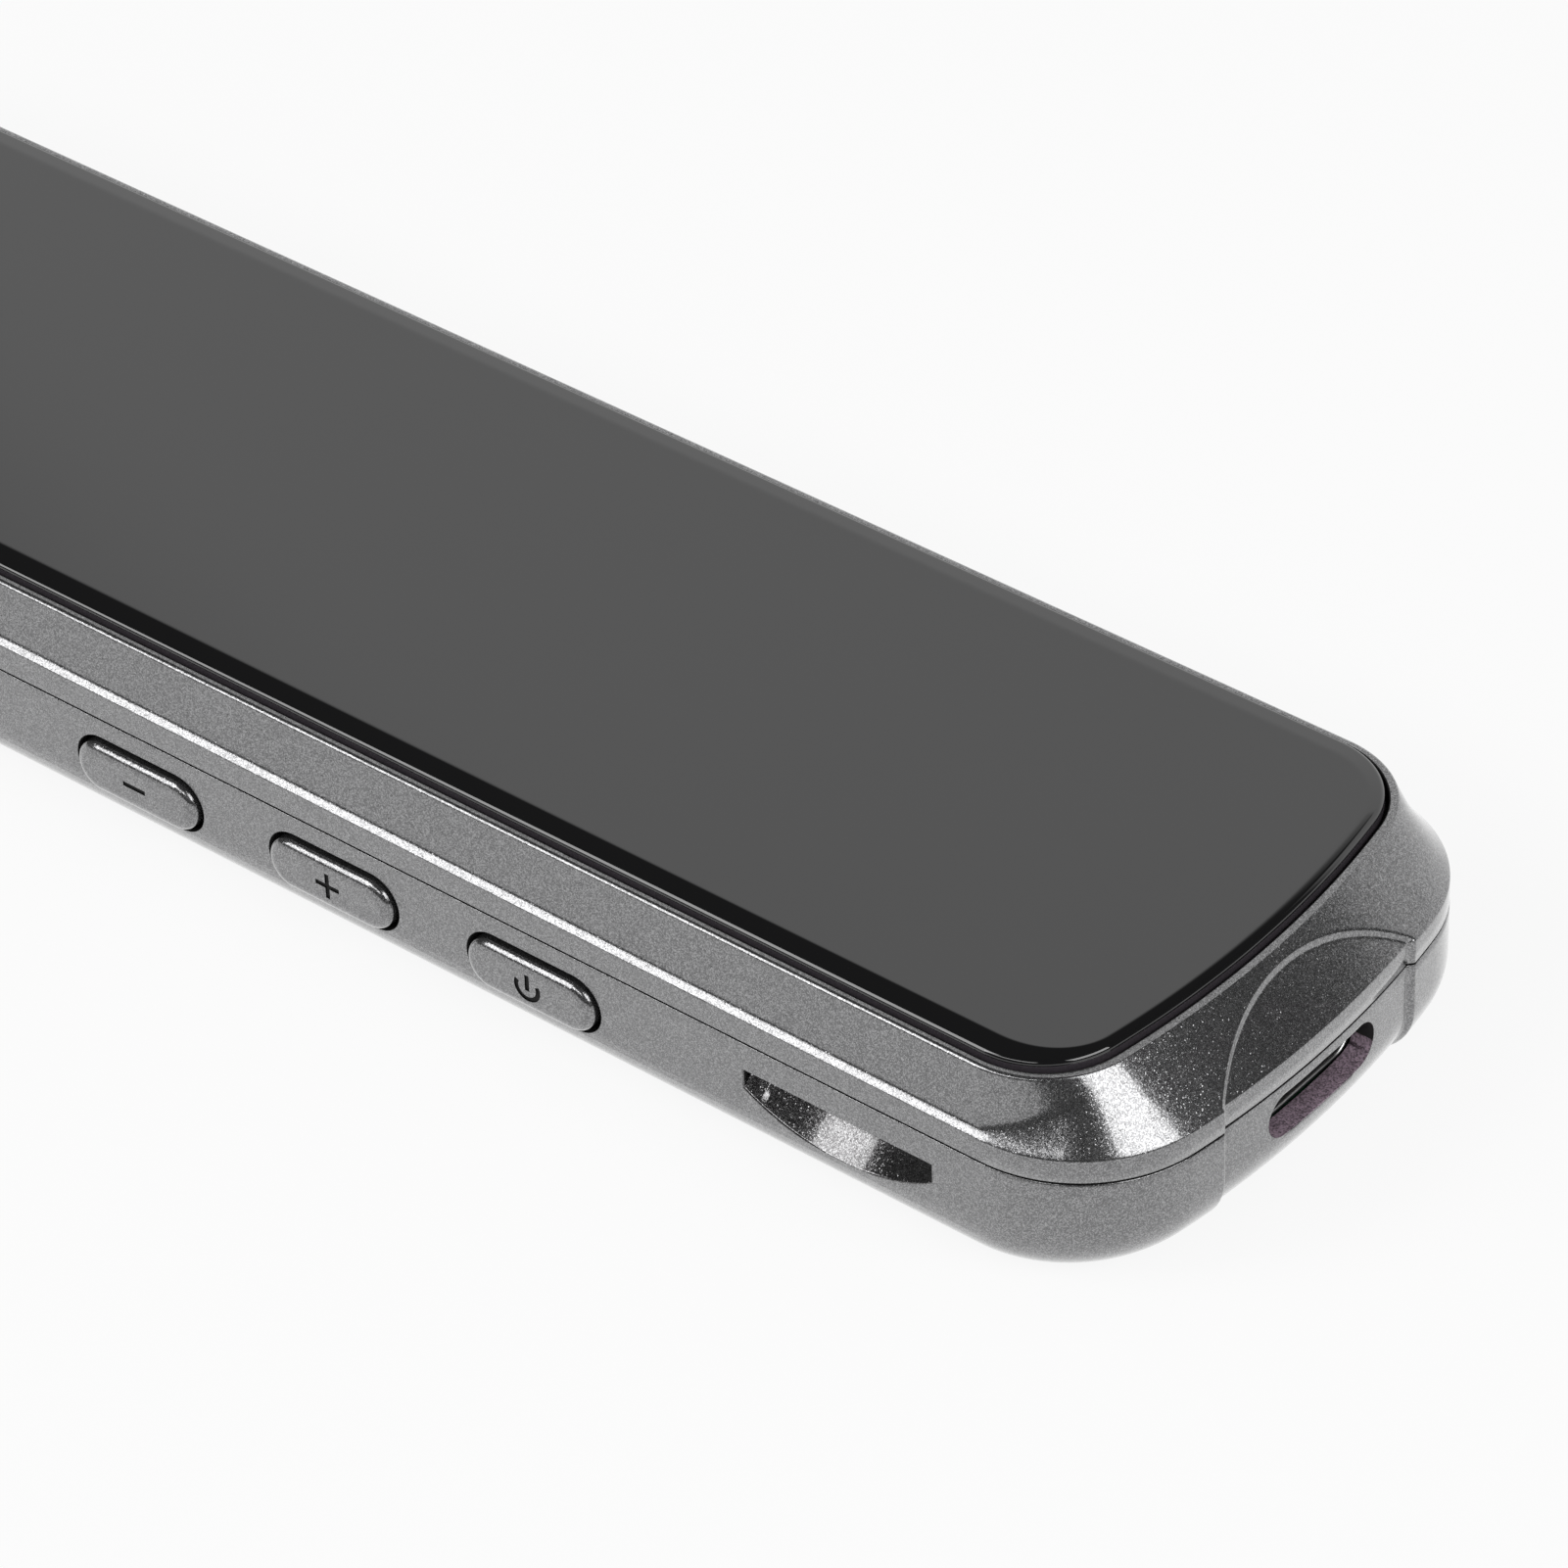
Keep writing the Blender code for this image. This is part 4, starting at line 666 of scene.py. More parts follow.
def tint(material, shader, pattern, output, low, high, start=0.0, end=1.0):
    """Mixes two colours by a pattern and sends them to the base colour."""
    ramp = add_node(material, "ShaderNodeValToRGB")
    ramp.color_ramp.elements[0].position = start
    ramp.color_ramp.elements[0].color = (*low, 1)
    ramp.color_ramp.elements[1].position = end
    ramp.color_ramp.elements[1].color = (*high, 1)
    wire(material, pattern, output, ramp, "Fac")
    wire(material, ramp, "Color", shader, "Base Color")
    return ramp


def raise_grain(material, shader, pattern, output, depth, strength):
    bump = add_node(material, "ShaderNodeBump", {"Distance": depth, "Strength": strength})
    wire(material, pattern, output, bump, "Height")
    wire(material, bump, "Normal", shader, "Normal")


def scaled(base, factor):
    return tuple(min(channel * factor, 1) for channel in base)


def flake_paint(name, base, flake, flake_size, roughness, tilt, stray_tilt, stray_share):
    """Metal flakes, most nearly flat and some leaning far, under a smooth clear coat."""
    material, shader = new_finish(name, base, roughness, metallic=0.92, Coat_Weight=1,
                                  Coat_Roughness=0.05, Coat_IOR=1.5)
    cells = cell_pattern(material, 1 / flake_size)
    apart = cell_channels(material, cells)
    tint(material, shader, apart, "Blue", base, flake, start=0.35)
    bearing = add_node(material, "ShaderNodeTexWhiteNoise", noise_dimensions="3D")
    wire(material, cells, "Position", bearing, "Vector")
    centred = add_node(material, "ShaderNodeVectorMath", {1: (0.5, 0.5, 0.5)}, operation="SUBTRACT")
    stray = add_node(material, "ShaderNodeMapRange",
                     {"From Min": 1 - stray_share, "From Max": 1, "To Min": tilt, "To Max": stray_tilt})
    wire(material, apart, "Green", stray, "Value")
    leaning = add_node(material, "ShaderNodeVectorMath", operation="SCALE")
    wire(material, stray, "Result", leaning, "Scale")
    surface = add_node(material, "ShaderNodeNewGeometry")
    turned = add_node(material, "ShaderNodeVectorMath", operation="ADD")
    unit = add_node(material, "ShaderNodeVectorMath", operation="NORMALIZE")
    wire(material, bearing, "Color", centred, 0)
    wire(material, centred, "Vector", leaning, 0)
    wire(material, surface, "Normal", turned, 0)
    wire(material, leaning, "Vector", turned, 1)
    wire(material, turned, "Vector", unit, 0)
    wire(material, unit, "Vector", shader, "Normal")
    return material


def speckled(name, dark, light, grain):
    """Rough thin paint, speckled light and dark."""
    material, shader = new_finish(name, dark, 0.7)
    cells = cell_pattern(material, 1 / grain)
    tint(material, shader, cell_channels(material, cells), "Red", dark, light)
    raise_grain(material, shader, cells, "Distance", grain / 4, 0.6)
    return material


def moulded(name, base, roughness, grain=0.00012, depth=0.00001, **sockets):
    """Plain moulded plastic, rubber or foam with a fine grain."""
    material, shader = new_finish(name, base, roughness, **sockets)
    noise = noise_pattern(material, 1 / grain, 3)
    tint(material, shader, noise, "Fac", scaled(base, 0.8), scaled(base, 1.15), 0.3, 0.7)
    raise_grain(material, shader, noise, "Fac", depth, 0.4)
    return material


def brushed_metal(name, base, roughness, along=(300, 12000, 12000)):
    """Rolled metal with fine lines along X."""
    material, shader = new_finish(name, base, roughness, metallic=1)
    noise = noise_pattern(material, 1, 4, along)
    tint(material, shader, noise, "Fac", scaled(base, 0.85), scaled(base, 1.1), 0.3, 0.7)
    raise_grain(material, shader, noise, "Fac", 0.000005, 0.3)
    return material


def circuit_lacquer(name, base):
    """Green lacquer with slightly paler copper runs under it."""
    material, shader = new_finish(name, base, 0.35, Coat_Weight=0.4)
    mapping = own_place(material)
    runs = add_node(material, "ShaderNodeTexBrick",
                    {"Scale": 400, "Mortar Size": 0.09, "Color1": (*base, 1),
                     "Color2": (*scaled(base, 0.85), 1), "Mortar": (*scaled(base, 1.9), 1)})
    wire(material, mapping, "Vector", runs, "Vector")
    wire(material, runs, "Color", shader, "Base Color")
    raise_grain(material, shader, runs, "Fac", 0.00001, 0.4)
    return material


def crinkled_foil(name, base):
    material, shader = new_finish(name, base, 0.4, metallic=0.6)
    noise = noise_pattern(material, 450, 6, distortion=0.6)
    tint(material, shader, noise, "Fac", scaled(base, 0.82), scaled(base, 1.12), 0.35, 0.65)
    raise_grain(material, shader, noise, "Fac", 0.00006, 0.5)
    return material


def printed_glass(name, base, dust):
    """Polished glass over black print, with a few specks of dust."""
    material, shader = new_finish(name, base, 0.025, IOR=1.7)
    cells = cell_pattern(material, DUST_SCALE)
    specks = add_node(material, "ShaderNodeMapRange",
                      {"From Min": DUST_CORE, "From Max": DUST_RIM, "To Min": 1, "To Max": 0})
    wire(material, cells, "Distance", specks, "Value")
    tint(material, shader, specks, "Result", base, dust)
    return material


def clear_moulding(name, base):
    material, shader = new_finish(name, base, 0.03, IOR=1.49, Transmission_Weight=1)
    noise = noise_pattern(material, 900, 2)
    tint(material, shader, noise, "Fac", scaled(base, 0.97), base, 0.3, 0.7)
    return material


FINISHES = {}


def prepare_finishes(colours):
    FINISHES.update({
        "gunmetal_paint": flake_paint("gunmetal paint", colours.paint, colours.flake,
                                      colours.flake_size, roughness=0.2, tilt=0.07,
                                      stray_tilt=0.38, stray_share=0.28),
        # Painted shade: the darker slot paint stands for the shade inside the strap slot
        "shaded_slot_paint": flake_paint("slot paint", colours.shaded_slot_paint, colours.shaded_slot_flake,
                                  colours.flake_size, roughness=0.14, tilt=0.05,
                                  stray_tilt=0.4, stray_share=0.22),
        "overspray": speckled("overspray", scaled(colours.overspray, 0.4),
                              scaled(colours.overspray, 2), 1.6 * colours.flake_size),
        "bare_shell": moulded("bare shell", colours.black_plastic, 0.5),
        "black_glass": printed_glass("black glass", colours.glass, colours.dust),
        "glass_edge": moulded("glass edge", colours.glass_edge, 0.22),
        "ink": moulded("ink", colours.ink, 0.5, Specular_IOR_Level=0.1),
        "dark_screen": moulded("dark screen", colours.screen, 0.2),
        "white_plastic": moulded("white plastic", colours.white_plastic, 0.5),
        "steel": brushed_metal("steel", colours.steel, 0.32),
        "gold": brushed_metal("contact plating", colours.gold, 0.25),
        "black_foam": moulded("black foam", colours.foam, 0.9, grain=0.0002, depth=0.00008),
        "black_plastic": moulded("black plastic", colours.black_plastic, 0.45),
        "grey_rubber": moulded("grey rubber", colours.rubber, 0.8),
        "green_board": circuit_lacquer("green board", colours.board),
        "silver_wrap": crinkled_foil("silver wrap", colours.wrap),
        "copper": brushed_metal("copper", colours.copper, 0.35),
        "smoked_plastic": moulded("smoked plastic", colours.smoke, 0.1, Coat_Weight=0.5),
        "clear_plastic": clear_moulding("clear plastic", colours.clear),
        "lamp_white": moulded("lamp white", colours.lamp, 0.4),
    })


# Cutters

def hole_sections(outline, face, inward, depth, rim, turn):
    """Sections of a hole with a rounded rim, from outside its face to the given depth."""
    levels = [(-OVERRUN, rim)] + roll(rim) + [(depth, 0)]
    return [[turn(across, up, face + inward * level) for across, up in outline(growth)]
            for level, growth in levels]


def key_middle(name):
    low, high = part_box(name + "_button")
    return (low.x + high.x) / 2, (low.z + high.z) / 2, high.z - low.z


def key_hole(keys, name, finish):
    middle_x, middle_z, cap_height = key_middle(name)

    def outline(growth):
        grown = 2 * (keys.hole_gap + SLACK / 2 + growth)
        return stadium(keys.cap_length + grown, cap_height + grown)

    sections = hole_sections(outline, -CASE_HIGH.y, 1, 4 * OVERRUN, keys.hole_roll,
                             lambda across, up, y: Vector((middle_x + across, y, middle_z + up)))
    return as_object(name + "_hole", loft(sections), finish)


def crescent(strap, growth):
    """The strap slot's outline: a straight top over a sagging curve."""
    half = strap.length / 2 + growth
    sag = strap.sag + growth
    low = strap.top - strap.end_height
    radius = (half ** 2 + sag ** 2) / (2 * sag)
    spread = math.asin(half / radius)
    centre = (0, low - sag + radius)
    curve = arc(centre, radius, -math.pi / 2 - spread, -math.pi / 2 + spread, ARC_STEPS)
    return curve + [(half, strap.top + growth), (-half, strap.top + growth)]


def strap_middle(case, strap):
    return CASE_LOW.x + case.length - strap.from_end


def strap_slot(case, strap, finish):
    """The crescent over its rising floor, cut level with the slot's ceiling."""
    middle_x = strap_middle(case, strap)
    slope = strap.floor_rise / strap.bar
    # The floor lies a hair under the node's own, so that no two faces coincide
    lowered = 3 * SLACK

    def lifted(across, up, y):
        depth = max(y + CASE_HIGH.y, 0)
        return Vector((middle_x + across, y, up + slope * depth - lowered))

    sections = hole_sections(lambda growth: crescent(strap, growth), -CASE_HIGH.y, 1,
                             strap.bar + SLACK, strap.roll, lifted)
    form = loft(sections)
    ceiling = Vector((0, 0, strap.top + SLACK))
    bmesh.ops.bisect_plane(form, geom=form.verts[:] + form.edges[:] + form.faces[:],
                           plane_co=ceiling, plane_no=(0, 0, 1), clear_outer=True)
    rim = [edge for edge in form.edges if edge.is_boundary]
    bmesh.ops.holes_fill(form, edges=rim)
    bmesh.ops.recalc_face_normals(form, faces=form.faces)
    return as_object("strap_slot", form, finish)


def strap_exit(case, strap, finish):
    middle_x = strap_middle(case, strap)
    middle_y = -CASE_HIGH.y + (strap.bar + strap.depth) / 2
    width = strap.depth - strap.bar

    def outline(growth):
        grown = 2 * (SLACK + growth)
        return rounded_rectangle(strap.exit_length + grown, width + grown, SLACK + growth,
                                 EXIT_CORNER_STEPS)

    sections = hole_sections(outline, 0, 1, strap.top + SLACK, strap.roll,
                             lambda across, up, z: Vector((middle_x + across, middle_y + up, z)))
    return as_object("strap_exit", loft(sections), finish)


def socket_hole(case, socket, finish):
    face = CASE_LOW.x + case.length - case.recess_depth

    def outline(growth):
        grown = 2 * (SLACK + growth)
        return stadium(socket.width + grown, socket.height + grown)

    sections = hole_sections(outline, face, -1, 4 * OVERRUN, socket.rim,
                             lambda across, up, x: Vector((x, across, SOCKET_MIDDLE + up)))
    return as_object("socket_hole", loft(sections), finish)


def tip_section(tip, grown):
    width = TIP_HIGH.y - TIP_LOW.y - 2 * (tip.gap + tip.ear)
    height = TIP_HIGH.z - TIP_LOW.z
    return rounded_rectangle(width + 2 * grown, height + 2 * grown, tip.corner + grown)


def tip_passage(tip, finish):
    sections = hole_sections(lambda growth: tip_section(tip, tip.gap + SLACK + growth),
                             CASE_LOW.x, 1, tip.nose_wall + OVERRUN, tip.lip,
                             lambda across, up, x: Vector((x, across, TIP_MIDDLE + up)))
    return as_object("tip_passage", loft(sections), finish)


def round_hole(name, radius, x, y, depth, rim, finish):
    def outline(growth):
        return arc((0, 0), radius + SLACK + growth, 0, 2 * math.pi, HOLE_SIDES)[:-1]

    sections = hole_sections(outline, 0, 1, depth, rim,
                             lambda across, up, z: Vector((x + across, y + up, z)))
    return as_object(name, loft(sections), finish)


def sound_holes(sound, finish):
    """Two rows of speaker holes, and one for the microphone."""
    low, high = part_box("speaker")
    middle_x = (low.x + high.x) / 2
    depth = low.z
    holes = []
    for row in SPEAKER_ROWS:
        for place_in_row in SPEAKER_PLACES:
            holes.append(round_hole("speaker_hole", sound.radius, middle_x + row * sound.pitch,
                                    place_in_row * sound.pitch, depth, sound.rim, finish))
    low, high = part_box("microphone")
    holes.append(round_hole("microphone_hole", sound.microphone_radius, (low.x + high.x) / 2,
                            (low.y + high.y) / 2, depth, sound.rim, finish))
    return holes


# Shells

def fillet_sections(case, columns, low=0, wall=0, extra=0):
    """Sections that round the lower edge, more at the USB end, less inside by the wall."""
    radius = case.bottom_fillet - wall
    height = case.end_fillet_height - wall
    end_run = case.end_fillet_run - wall
    sections = []
    for turn in spaced(0, math.pi / 2, FILLET_STEPS):
        rise = height * (1 - math.cos(turn))
        below = max(radius - rise, 0)
        run = radius - math.sqrt(radius ** 2 - below ** 2)
        usb_run = end_run * (1 - math.sin(turn))
        outline = body_outline(case, columns, wall + run, wall + extra + usb_run,
                               wall + case.chin_ratio * run)
        sections.append(at_level(outline, low + rise))
    return sections


def case_hollow(case):
    """What the fine shell leaves to the node inside it: its hollow, posts and ribs."""
    columns = spaced(0, case.recess_width / 2, HOLLOW_COLUMNS)
    sections = fillet_sections(case, columns, case.skin, case.skin, case.recess_depth)
    top = body_outline(case, columns, case.skin, case.skin + case.recess_depth, case.skin)
    sections.append(at_level(top, CASE_HIGH.z + OVERRUN))
    bare = FINISHES["bare_shell"]
    inner = as_object("case_hollow", loft(sections), bare)
    return combine(inner, [cad_copy("lower_case", bare)], "DIFFERENCE")


def shade_socket_roof(mesh, reach):
    """Painted shade in the socket's opening: its roof and sides are made black as shade, and only its
    floor, which looks up to the light, keeps the speckled overspray.
    """
    lit_floor_index = mesh.materials.find(FINISHES["overspray"].name)
    bare = mesh.materials.find(FINISHES["bare_shell"].name)
    for face in mesh.polygons:
        in_socket = face.center.x > SHELL_LOW.x and face.center.z > SHELL_LOW.z
        if in_socket and face.material_index == lit_floor_index and face.normal.z < reach:
            face.material_index = bare


def make_lower_case(context):
    scene = context.scene
    case = scene.pen_case
    columns = groove_columns(case)
    sections = fillet_sections(case, columns)
    wall_levels = spaced(case.end_fillet_height, case.top_level - case.edge_bevel, PLAIN_STEPS)[1:]
    sections += [at_level(body_outline(case, columns), level) for level in wall_levels]
    sections.append(at_level(broken_edge(case, columns), case.top_level))
    paint = FINISHES["gunmetal_paint"]
    shell = as_object("lower_case_shell", loft([sunk(case, section) for section in sections]), paint)
    cutters = [key_hole(scene.pen_keys, name, FINISHES["bare_shell"]) for name in KEYS]
    # The strap slot and its exit take the darkened slot paint, which is painted shade for the recess
    cutters += [strap_slot(case, scene.pen_strap, FINISHES["shaded_slot_paint"]),
                strap_exit(case, scene.pen_strap, FINISHES["shaded_slot_paint"]),
                socket_hole(case, scene.pen_socket, FINISHES["overspray"]),
                tip_passage(scene.pen_tip, FINISHES["overspray"]), case_hollow(case)]
    cutters += sound_holes(scene.pen_sound, FINISHES["overspray"])
    combine(shell, cutters, "DIFFERENCE")
    # Paints shade into the socket's opening: its roof and sides turn black, its lit floor stays
    # speckled
    shade_socket_roof(shell.data, scene.pen_finish.painted_shade_reach)
    finish_piece(shell, "case", "gunmetal_paint", "lower_case")


def ledge_shares(case, rim, columns):
    """For each point of the outline, how far the ledge is there: 1 on the sides, 0 at the ends."""
    corner_y = CASE_HIGH.y - case.corner_radius
    turn = math.asin(corner_y / (case.bulge_radius - case.corner_radius))
    half = [0] * (len(columns) + MEET_STEPS - 1)
    for bearing in spaced(turn, math.pi / 2, CORNER_STEPS):
        half.append(smooth(1 - (math.pi / 2 - bearing) / rim.ledge_fade))
    half += [smooth(1 - 2 * step / TAPER_STEPS) for step in range(TAPER_STEPS)]
    half += [0] * (NOSE_CORNER_STEPS + 2)
    return half + half[1:-1][::-1]


def shoulder_run(rim, up, rise, reach, share):
    """How far in the shoulder is at a height over the ridge, with or without the ledge."""
    plain = soft_max(0, reach * up / rise, rim.ridge_softness)
    ledge = soft_max(0, up / rim.ledge_slope, rim.ridge_softness)
    steep = reach - (rise - up) / rim.shoulder_slope
    with_ledge = soft_min(ledge, steep, rim.ledge_softness)
    return max(plain + (with_ledge - plain) * share, 0)


def square_reaches(body, lip):
    """How far in the lip is at each point, measured square to the body's outline."""
    reaches = []
    for index, (x, y) in enumerate(body):
        before, after = body[index - 1], body[(index + 1) % len(body)]
        along = Vector((after[0] - before[0], after[1] - before[1])).normalized()
        inward = Vector((lip[index][0] - x, lip[index][1] - y))
        reaches.append(abs(along.x * inward.y - along.y * inward.x))
    return reaches


def shoulder_sections(case, rim, columns):
    """From the joint up the wall, over the ridge and the shoulder to the lip's flat top."""
    body = body_outline(case, columns)
    lip = lip_outline(case, rim, columns)
    inner_lip = lip_outline(case, rim, columns, rim.lip_width)
    shares = ledge_shares(case, rim, columns)
    reaches = square_reaches(body, lip)
    sections = [at_level(broken_edge(case, columns), rim.bottom_level),
                at_level(body, rim.bottom_level + case.edge_bevel)]
    rise = rim.shoulder_top - rim.ridge_level
    slopes = [math.atan(rim.shoulder_slope) * share + rim.end_lean * (1 - share) for share in shares]
    rolls = [rim.lip_roll * share + rim.end_lip_roll * (1 - share) for share in shares]
    tops = [lip_top(rim) - radius * (1 - math.cos(slope)) for slope, radius in zip(slopes, rolls)]
    for up in [*RIDGE_LEVELS, *spaced(RIDGE_LEVELS[-1], rise, SHOULDER_STEPS)[1:]]:
        section = []
        for index, ((x, y), (lip_x, lip_y)) in enumerate(zip(body, lip)):
            inward = Vector((lip_x - x, lip_y - y, 0))
            over_nose = smooth(-x / case.nose_taper - 1)
            ridge = rim.ridge_level + (rim.nose_ridge_level - rim.ridge_level) * over_nose
            level = ridge + up * (tops[index] - ridge) / rise
            run = shoulder_run(rim, up, rise, reaches[index], shares[index])
            section.append(Vector((x, y, level)) + inward * (run / reaches[index]))
        sections.append(section)
    for step in spaced(1, 0, 2 * ROLL_STEPS)[1:]:
        section = []
        for (x, y), (inner_x, inner_y), slope, radius in zip(lip, inner_lip, slopes, rolls):
            run = radius * (math.sin(slope) - math.sin(slope * step)) / rim.lip_width
            level = lip_top(rim) - radius * (1 - math.cos(slope * step))
            section.append(Vector((x + (inner_x - x) * run, y + (inner_y - y) * run, level)))
        sections.append(section)
    return sections


def lip_top(rim):
    return rim.shoulder_top + rim.lip_roll * (1 - math.cos(math.atan(rim.shoulder_slope)))


def frame_hollow(case, rim):
    """What the fine frame leaves to the node inside it: its hollow, deck and window."""
    columns = spaced(0, case.recess_width / 2, HOLLOW_COLUMNS)
    skin = case.skin
    usb = skin + case.recess_depth
    low_level = rim.ridge_level - 10 * SLACK
    # Under the lip and the seat of the glass the skin is thinner
    inner = rim.lip_width + skin / 4
    deck_level = rim.seat_level - skin / 8
    sections = [at_level(body_outline(case, columns, skin, usb, skin), CASE_HIGH.z - OVERRUN),
                at_level(body_outline(case, columns, skin, usb, skin), low_level),
                at_level(lip_outline(case, rim, columns, inner), deck_level),
                at_level(lip_outline(case, rim, columns, inner), deck_level + OVERRUN)]
    bare = FINISHES["bare_shell"]
    return combine(as_object("frame_hollow", loft(sections), bare),
                   [cad_copy("upper_frame", bare)], "DIFFERENCE")


def glass_seat(case, rim):
    """The recess that takes the glass, with a rounded upper edge."""
    columns = spaced(0, case.recess_width / 2, SEAT_COLUMNS)
    top = lip_top(rim)
    sections = [at_level(lip_outline(case, rim, columns, rim.lip_width), rim.seat_level)]
    for depth, growth in roll(rim.lip_inner_roll)[::-1]:
        sections.append(at_level(lip_outline(case, rim, columns, rim.lip_width - growth), top - depth))
    sections.append(at_level(lip_outline(case, rim, columns, rim.lip_width - rim.lip_inner_roll),
                             top + OVERRUN))
    return as_object("glass_seat", loft(sections), FINISHES["bare_shell"])


def make_upper_frame(context):
    scene = context.scene
    case, rim = scene.pen_case, scene.pen_frame
    sections = [sunk(case, section) for section in shoulder_sections(case, rim, panel_columns(case))]
    shell = as_object("upper_frame_shell", loft(sections), FINISHES["gunmetal_paint"])
    combine(shell, [frame_hollow(case, rim), glass_seat(case, rim),
                    tip_passage(scene.pen_tip, FINISHES["overspray"])], "DIFFERENCE")
    finish_piece(shell, "case", "gunmetal_paint", "upper_frame")


def leaning_border(glass, flat_inset):
    """Insets and levels from the flat glass over its leaning border to the tight edge."""
    level = GLASS_HIGH.z
    places = spaced(flat_inset, glass.inset + glass.edge_roll * (1 - math.sin(glass.edge_tilt)),
                    4 * ROLL_STEPS)
    border = [(places[0], level)]
    for inner, outer in zip(places, places[1:]):
        share = smooth((flat_inset - (inner + outer) / 2) / glass.lean_blend)
        level -= math.tan(glass.edge_tilt * share) * (inner - outer)
        border.append((outer, level))
    return border


def glass_profile(glass, flat_inset):
    """Insets and levels of the glass from its underside over its edge to the flat."""
    lean = leaning_border(glass, flat_inset)
    side_top = lean[-1][1] - glass.edge_roll * math.cos(glass.edge_tilt)
    profile = [(glass.inset, GLASS_LOW.z), (glass.inset, (GLASS_LOW.z + side_top) / 2)]
    for turn in spaced(math.pi / 2, glass.edge_tilt, 2 * ROLL_STEPS)[:-1]:
        profile.append((glass.inset + glass.edge_roll * (1 - math.sin(turn)),
                        side_top + glass.edge_roll * math.cos(turn)))
    return profile + lean[::-1]


def make_cover_glass(context):
    """Flat glass whose border leans down, more widely on the sides, and ends in a tight edge."""
    scene = context.scene
    case, rim, glass = scene.pen_case, scene.pen_frame, scene.pen_glass
    columns = spaced(0, case.recess_width / 2, GLASS_COLUMNS)
    shares = ledge_shares(case, rim, columns)
    side_profile = glass_profile(glass, glass.flat_inset)
    end_profile = glass_profile(glass, glass.end_flat_inset)
    sections = []
    for (inset, level), (end_inset, end_level) in zip(side_profile, end_profile):
        side = at_level(lip_outline(case, rim, columns, inset), level)
        end = at_level(lip_outline(case, rim, columns, end_inset), end_level)
        sections.append([first.lerp(second, share) for first, second, share in zip(end, side, shares)])
    cover = as_object("cover_glass_pane", loft(sections), FINISHES["black_glass"],
                      FINISHES["glass_edge"])
    # Faces below the start of the tight edge's rounding are the cut edge
    cut_top = side_profile[2][1]
    for face in cover.data.polygons:
        face.material_index = int(face.center.z < cut_top)
    finish_piece(cover, "case", "black_glass", "cover_glass", sharp=50)


# Keys

def sign_bars(keys, name, middle_x, front_y, middle_z):
    """The straight strokes of a key's sign: a minus, a plus or the power sign's bar."""
    stroke = keys.sign_stroke
    bars = {"volume_down": [(keys.minus_length, stroke)],
            "volume_up": [(keys.plus_length, stroke), (stroke, keys.plus_length)],
            "power": [(stroke, keys.power_bar)]}[name]
    lift = keys.power_bar_lift if name == "power" else 0
    made = []
    for width, height in bars:
        low = (middle_x - width / 2, front_y - OVERRUN, middle_z + lift - height / 2)
        high = (middle_x + width / 2, front_y + keys.sign_depth, middle_z + lift + height / 2)
        made.append(as_object("sign_bar", block(low, high), FINISHES["ink"]))
    return made


def power_ring(keys, middle_x, front_y, middle_z):
    """The open ring of the power sign, spun from one small square."""
    form = bmesh.new()
    inner = keys.power_radius - keys.sign_stroke / 2
    outer = keys.power_radius + keys.sign_stroke / 2
    corners = [(inner, -OVERRUN), (outer, -OVERRUN), (outer, keys.sign_depth), (inner, keys.sign_depth)]
    verts = [form.verts.new((radius, depth, 0)) for radius, depth in corners]
    start = [form.faces.new(verts)]
    bmesh.ops.rotate(form, cent=(0, 0, 0), verts=form.verts,
                     matrix=Matrix.Rotation(-math.pi / 2 - keys.power_opening / 2, 3, "Y"))
    bmesh.ops.spin(form, geom=start, cent=(0, 0, 0), axis=(0, -1, 0), steps=SPIN_STEPS,
                   angle=2 * math.pi - keys.power_opening, dvec=(0, 0, 0), use_duplicate=False)
    bmesh.ops.remove_doubles(form, verts=form.verts, dist=MERGE_DISTANCE)
    bmesh.ops.recalc_face_normals(form, faces=form.faces)
    bmesh.ops.translate(form, vec=(middle_x, front_y, middle_z), verts=form.verts)
    return as_object("power_ring", form, FINISHES["ink"])


def make_key(keys, name):
    """A key's rounded cap with its sunk sign and the ears behind the wall."""
    low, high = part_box(name + "_button")
    middle_x, middle_z, cap_height = key_middle(name)
    back_y = high.y
    sections = []
    for turn in spaced(0, math.pi / 2, 2 * ROLL_STEPS):
        inset = keys.cap_roll * (1 - math.sin(turn))
        y = low.y + keys.cap_roll_depth * (1 - math.cos(turn))
        outline = stadium(keys.cap_length - 2 * inset, cap_height - 2 * inset)
        sections.append([Vector((middle_x + across, y, middle_z + up)) for across, up in outline])
    outline = stadium(keys.cap_length, cap_height)
    sections.append([Vector((middle_x + across, back_y - keys.ear_depth / 2, middle_z + up))
                     for across, up in outline])
    cap = as_object(name + "_key", loft(sections), FINISHES["gunmetal_paint"])
    ears = block((low.x, back_y - keys.ear_depth, middle_z - keys.ear_height / 2),
                 (high.x, back_y, middle_z + keys.ear_height / 2), EAR_BEVEL)
    combine(cap, [as_object("ears", ears, FINISHES["gunmetal_paint"])], "UNION")
    signs = sign_bars(keys, name, middle_x, low.y, middle_z)
    if name == "power":
        signs.append(power_ring(keys, middle_x, low.y, middle_z))
    combine(cap, signs, "DIFFERENCE")
    finish_piece(cap, name + "_key", "gunmetal_paint", name + "_button")


# Socket

def socket_ring(length, height, x):
    return [Vector((x, across, SOCKET_MIDDLE + up)) for across, up in stadium(length, height)]


